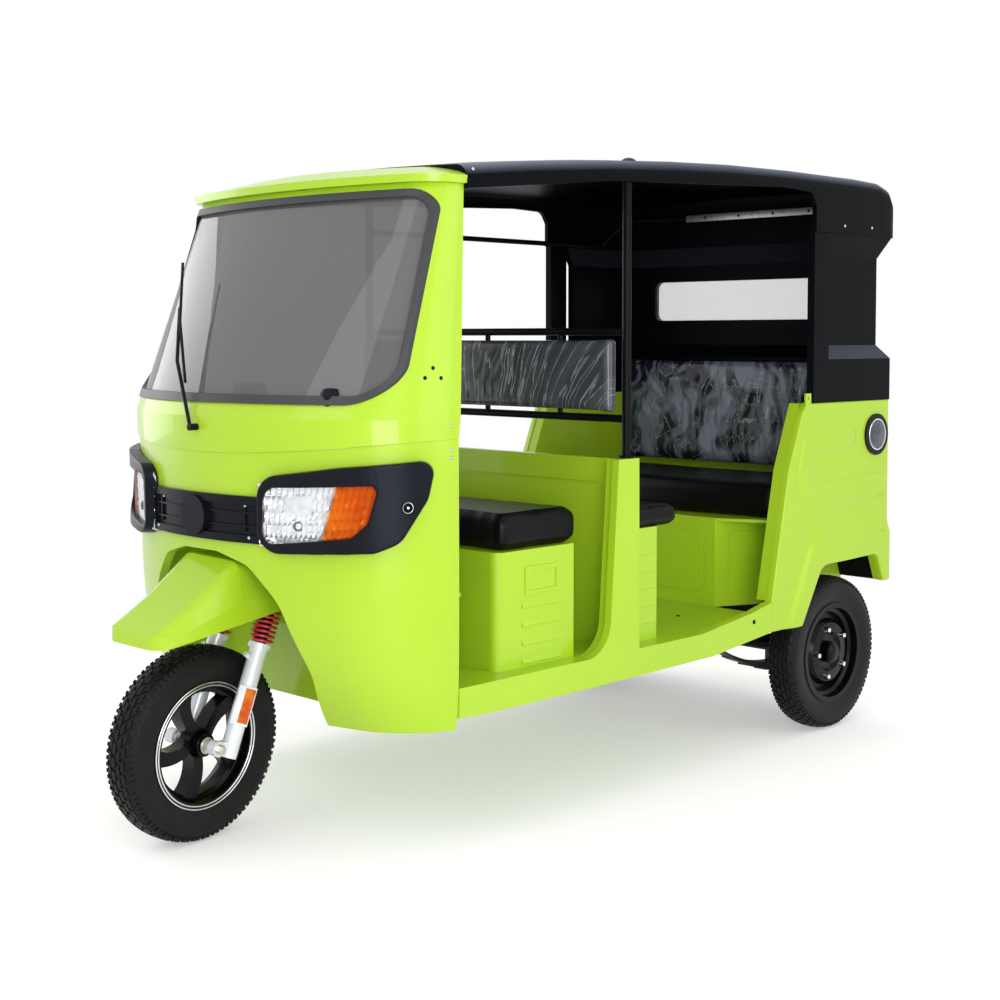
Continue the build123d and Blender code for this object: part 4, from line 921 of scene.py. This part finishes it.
# Front axle ends: a zinc spacer between hub and lug, and an end nut on a washer.
zinc_plate = make_finish("zinc_plate", (0.62, 0.6, 0.5), (0.5, 0.5, 0.45), 0.3, metallic=0.8, grain=300,
                         bump=0.0001, spots=(30.0, 0.6))
spacer = [(0.0215, 0), (0.0215, 0.0025), (0.0175, 0.003), (0.0175, 0.0105), (0.0145, 0.012), (0.0145, 0.0215)]
end_washer = [(0.0175, 0), (0.0175, 0.0025)]
end_nut = [(0.0122, 0), (0.0122, 0.0085), (0.0105, 0.0095)]
for word, side in (("left", 1), ("right", -1)):
    for label, out, profile, sides, material, slot in (
        ("axle_spacer_", 0.0455, spacer, 24, zinc_plate, "galvanised"),
        ("axle_washer_", 0.0963, end_washer, 24, bright_alloy, "silver"),
        ("axle_nut_", 0.0988, end_nut, 6, zinc_plate, "galvanised"),
    ):
        axle_stack(label + word, "front_wheel_spin", side, "steering", [(0, 0, out)], profile, sides,
                   material, smooth=sides > 6)

# Side reflectors: a silver plate on the outer front of each slider with a long amber reflector.
plate_t = 0.103
for word, side in (("left", 1), ("right", -1)):
    middle = on_fork(plate_t, side * leg_y)
    ahead = (on_fork(plate_t, side * leg_y, 0.1) - middle).normalized()
    up = (on_fork(plate_t + 0.1, side * leg_y) - middle).normalized()
    outward = side * (on_fork(plate_t, leg_y + 0.1) - on_fork(plate_t, leg_y)).normalized()
    facing = (ahead + outward).normalized()
    along = (outward - ahead).normalized()
    turn = Matrix((along, up, facing)).transposed().to_4x4()
    for label, size, out, shift, material, slot in (
        ("reflector_plate_", (0.046, 0.102, 0.003), 0.0245, 0.004, slider_silver, "silver"),
        ("side_reflector_", (0.026, 0.09, 0.005), 0.0275, 0.012, lamp_amber, "lamp_amber"),
    ):
        place = Matrix.Translation(middle + facing * out + along * shift) @ turn
        soft_block(label + word, size, place, material, "steering")

# Instrument pods on the dashboard shelf: a round black dial housing on a stalk and a smaller
# switch pod, which stand up behind the windscreen.
shelf_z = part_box("dashboard")[1][2]
pod_x = 0.95
pod_shape = [(0.5, 0), (0.42, 0.1), (0.42, 0.35), (0.95, 0.5), (1.0, 0.7), (0.94, 0.88), (0.7, 0.98)]
pod_shape += [(0.25, 1.0)]
for name, x, y, size in (("dash_pod_left", 250, 382, 0.046), ("dash_pod_right", 332, 388, 0.03)):
    way = pixel_way(x, y)
    top = camera_place + way * ((pod_x - camera_place.x) / way.x)
    spots = [(Vector((pod_x, top.y, shelf_z)), Vector((0, 0, 1)))]
    pod_profile = [(r * size, h * (top.z - shelf_z) + 0.0004) for r, h in pod_shape]
    fitted_heads(name, spots, pod_profile, black_trim, 32, both=False)

# Seats: foam cushions in black vinyl, and backrests in vinyl still under their clear film. The
# pads lie on the seat boxes and against their posts.
# Black vinyl: its faces that point up get a slightly paler bluish colour, a painted sheen.
black_vinyl = make_finish("black_vinyl", (0.002, 0.0022, 0.0026), (0.004, 0.0042, 0.005), 0.33, grain=700,
                          spots=(7.0, 0.6), specular=0.12, top=(0.004, 0.005, 0.0055))


def film_creases_and_sheen():
    """Group for clear film over vinyl: creases that run up the pad and lean outward, painted as thin bright
    highlights, on a ground of paler painted sheen patches.
    """
    group = new_group("film_creases_and_sheen", ("Colour", "Patch colour", "Crease highlight colour"),
                      ("Across", "Along", "Lean", "Warp", "Width"), ("Height",))
    given = group.nodes.new("NodeGroupInput").outputs
    place = add_node(group, "ShaderNodeTexCoord").outputs["Object"]
    part = add_node(group, "ShaderNodeSeparateXYZ", {0: place}).outputs
    bent = calc(group, "MULTIPLY", mottle(group, 4.0, 2.0, place), given["Warp"])
    leaning = calc(group, "MULTIPLY", part["Y"], part["Z"])
    fanned = calc(group, "MULTIPLY_ADD", leaning, given["Lean"], part["Y"])
    across = calc(group, "MULTIPLY", calc(group, "ADD", fanned, bent), given["Across"])
    along = calc(group, "MULTIPLY", part["Z"], given["Along"])
    line_place = add_node(group, "ShaderNodeCombineXYZ", {0: across, 1: along}).outputs[0]
    near = calc(group, "ABSOLUTE", calc(group, "SUBTRACT", mottle(group, 1.0, 3.0, line_place), 0.5))
    # Creases get the crease colour, a painted highlight. The patch colour is a painted sheen of the film.
    ridge = ranged(group, near, 0.0, given["Width"], 1.0, 0.0)
    patch = ranged(group, mottle(group, 0.45, 4.0, line_place), 0.46, 0.56)
    ground = blended(group, patch, given["Colour"], given["Patch colour"])
    add_node(group, "NodeGroupOutput", {"Colour": blended(group, ridge, ground, given["Crease highlight colour"]),
                                        "Height": ridge})
    return group


film_group = film_creases_and_sheen()


def make_film(name, colour, patch, crease_highlight, across, along, lean, warp, width, depth):
    """Vinyl under clear film, with the film's sheen painted as paler patches and bright highlights on its
    creases.
    """
    values = {
        "Colour": colour, "Patch colour": patch, "Crease highlight colour": crease_highlight, "Across": across, "Along": along,
        "Lean": lean, "Warp": warp, "Width": width,
    }
    shading = {"Roughness": 0.2, "Coat Weight": 0.4, "Coat Roughness": 0.1, "Specular IOR Level": 0.3}
    return shaded(name, film_group, values, shading, depth)


# The paler patch colours and bright crease colours paint the film's sheen and the highlights on its creases.
grey_film = make_film("grey_film", (0.045, 0.05, 0.06), (0.065, 0.072, 0.085), (0.17, 0.185, 0.21),
                      across=90, along=3.5, lean=-0.55, warp=0.02, width=0.02, depth=0.0006)
black_film = make_film("black_film", (0.01, 0.012, 0.02), (0.15, 0.165, 0.225), (0.24, 0.26, 0.32),
                       across=13, along=8, lean=0.9, warp=0.7, width=0.014, depth=0.001)


def box_pad(name, low, high, edge, inset, voxel=0.009, cap=0.012, bow=0.0):
    """Foam pad: a rounded block, blown up a little by a cloth pass with pressure."""
    low = Vector(low)
    high = Vector(high)
    size = high - low - Vector((inset, inset, inset)) * 2
    mesh_maker = bmesh.new()
    bmesh.ops.create_cube(mesh_maker, size=1.0)
    for v in mesh_maker.verts:
        v.co = Vector((v.co.x * size.x, v.co.y * size.y, v.co.z * size.z)) + (low + high) / 2
    edges = mesh_maker.edges[:]
    bmesh.ops.bevel(mesh_maker, geom=edges, offset=edge, segments=4, profile=0.5, affect="EDGES")
    pad = placed(name, built(name, mesh_maker))
    add_voxels(pad, voxel)
    solid = remade(pad)
    if bow:
        for v in solid.vertices:
            share = (v.co.x - low.x) / size.x
            v.co.x += bow * share * (1 - (v.co.y / high.y) ** 2)
        high.x += bow
    rest = [v.co.copy() for v in solid.vertices]
    cloth = pad.modifiers.new("cloth", "CLOTH")
    cloth.settings.use_pressure = True
    cloth.settings.uniform_pressure_force = 4.0
    cloth.settings.quality = 5
    cloth.settings.effector_weights.gravity = 0
    for step in range(1, 21):
        bpy.context.scene.frame_set(step)
    blown = remade(pad)
    bpy.context.scene.frame_set(1)
    for v, start in zip(blown.vertices, rest):
        move = v.co - start
        if move.length > cap:
            v.co = start + move * (cap / move.length)
    margin = 0.0004
    for v in pad.data.vertices:
        for axis in range(3):
            v.co[axis] = min(max(v.co[axis], low[axis] + margin), high[axis] - margin)
    return pad


def finish_pad(pad, material, node):
    """Give a pad its finish, put it on the body and hide the CAD node that it stands for."""
    recoated(pad, material)
    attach(pad, "body")
    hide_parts(node)


driver_cushion = box_pad("driver_cushion", (0.165, -0.53, 0.7353), (0.49, 0.53, 0.835), 0.026, 0.006)
finish_pad(driver_cushion, black_vinyl, "bench_cushions")
jump_cushion = box_pad("jump_cushion", (-0.26, -0.545, 0.7503), (-0.0003, 0.545, 0.811), 0.018, 0.005)
finish_pad(jump_cushion, black_vinyl, "bench_cushions")
bench_low, bench_high = (-1.24, -0.5, 0.7123), (-0.8, 0.5, 0.8283)
rear_bench = box_pad("rear_bench_cushion", bench_low, bench_high, 0.03, 0.006, voxel=0.011, bow=0.049)
finish_pad(rear_bench, black_vinyl, "rear_cushion")


def crinkle(pad, low, high, depth, pull):
    """Press crinkles into a film-wrapped pad: streaks that run down and fan out."""
    for v in pad.data.vertices:
        y = (v.co.y - low[1]) / (high[1] - low[1])
        z = (v.co.z - low[2]) / (high[2] - low[2])
        fan = z * pull * noise.noise(Vector((y * 3, z, 4.0)))
        streak = noise.noise(Vector((y * 34 + fan, z * 3.2, 0.0)))
        patch = noise.noise(Vector((y * 9, z * 5, 3.0)))
        lift = depth * (abs(streak) - 0.35) * (0.6 + patch)
        ahead = 1 if v.co.x > (low[0] + high[0]) / 2 else -1
        v.co.x += ahead * lift


driver_low, driver_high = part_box("driver_backrest")
driver_back = box_pad("driver_back_pad", driver_low, driver_high, 0.012, 0.004, voxel=0.007, cap=0.005)
crinkle(driver_back, driver_low, driver_high, 0.003, 4)
finish_pad(driver_back, grey_film, "driver_backrest")
rear_low, rear_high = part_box("rear_backrest")
rear_back = box_pad("rear_back_pad", rear_low, rear_high, 0.02, 0.004, voxel=0.009, cap=0.01)
crinkle(rear_back, rear_low, rear_high, 0.016, 9)
finish_pad(rear_back, black_film, "rear_backrest")
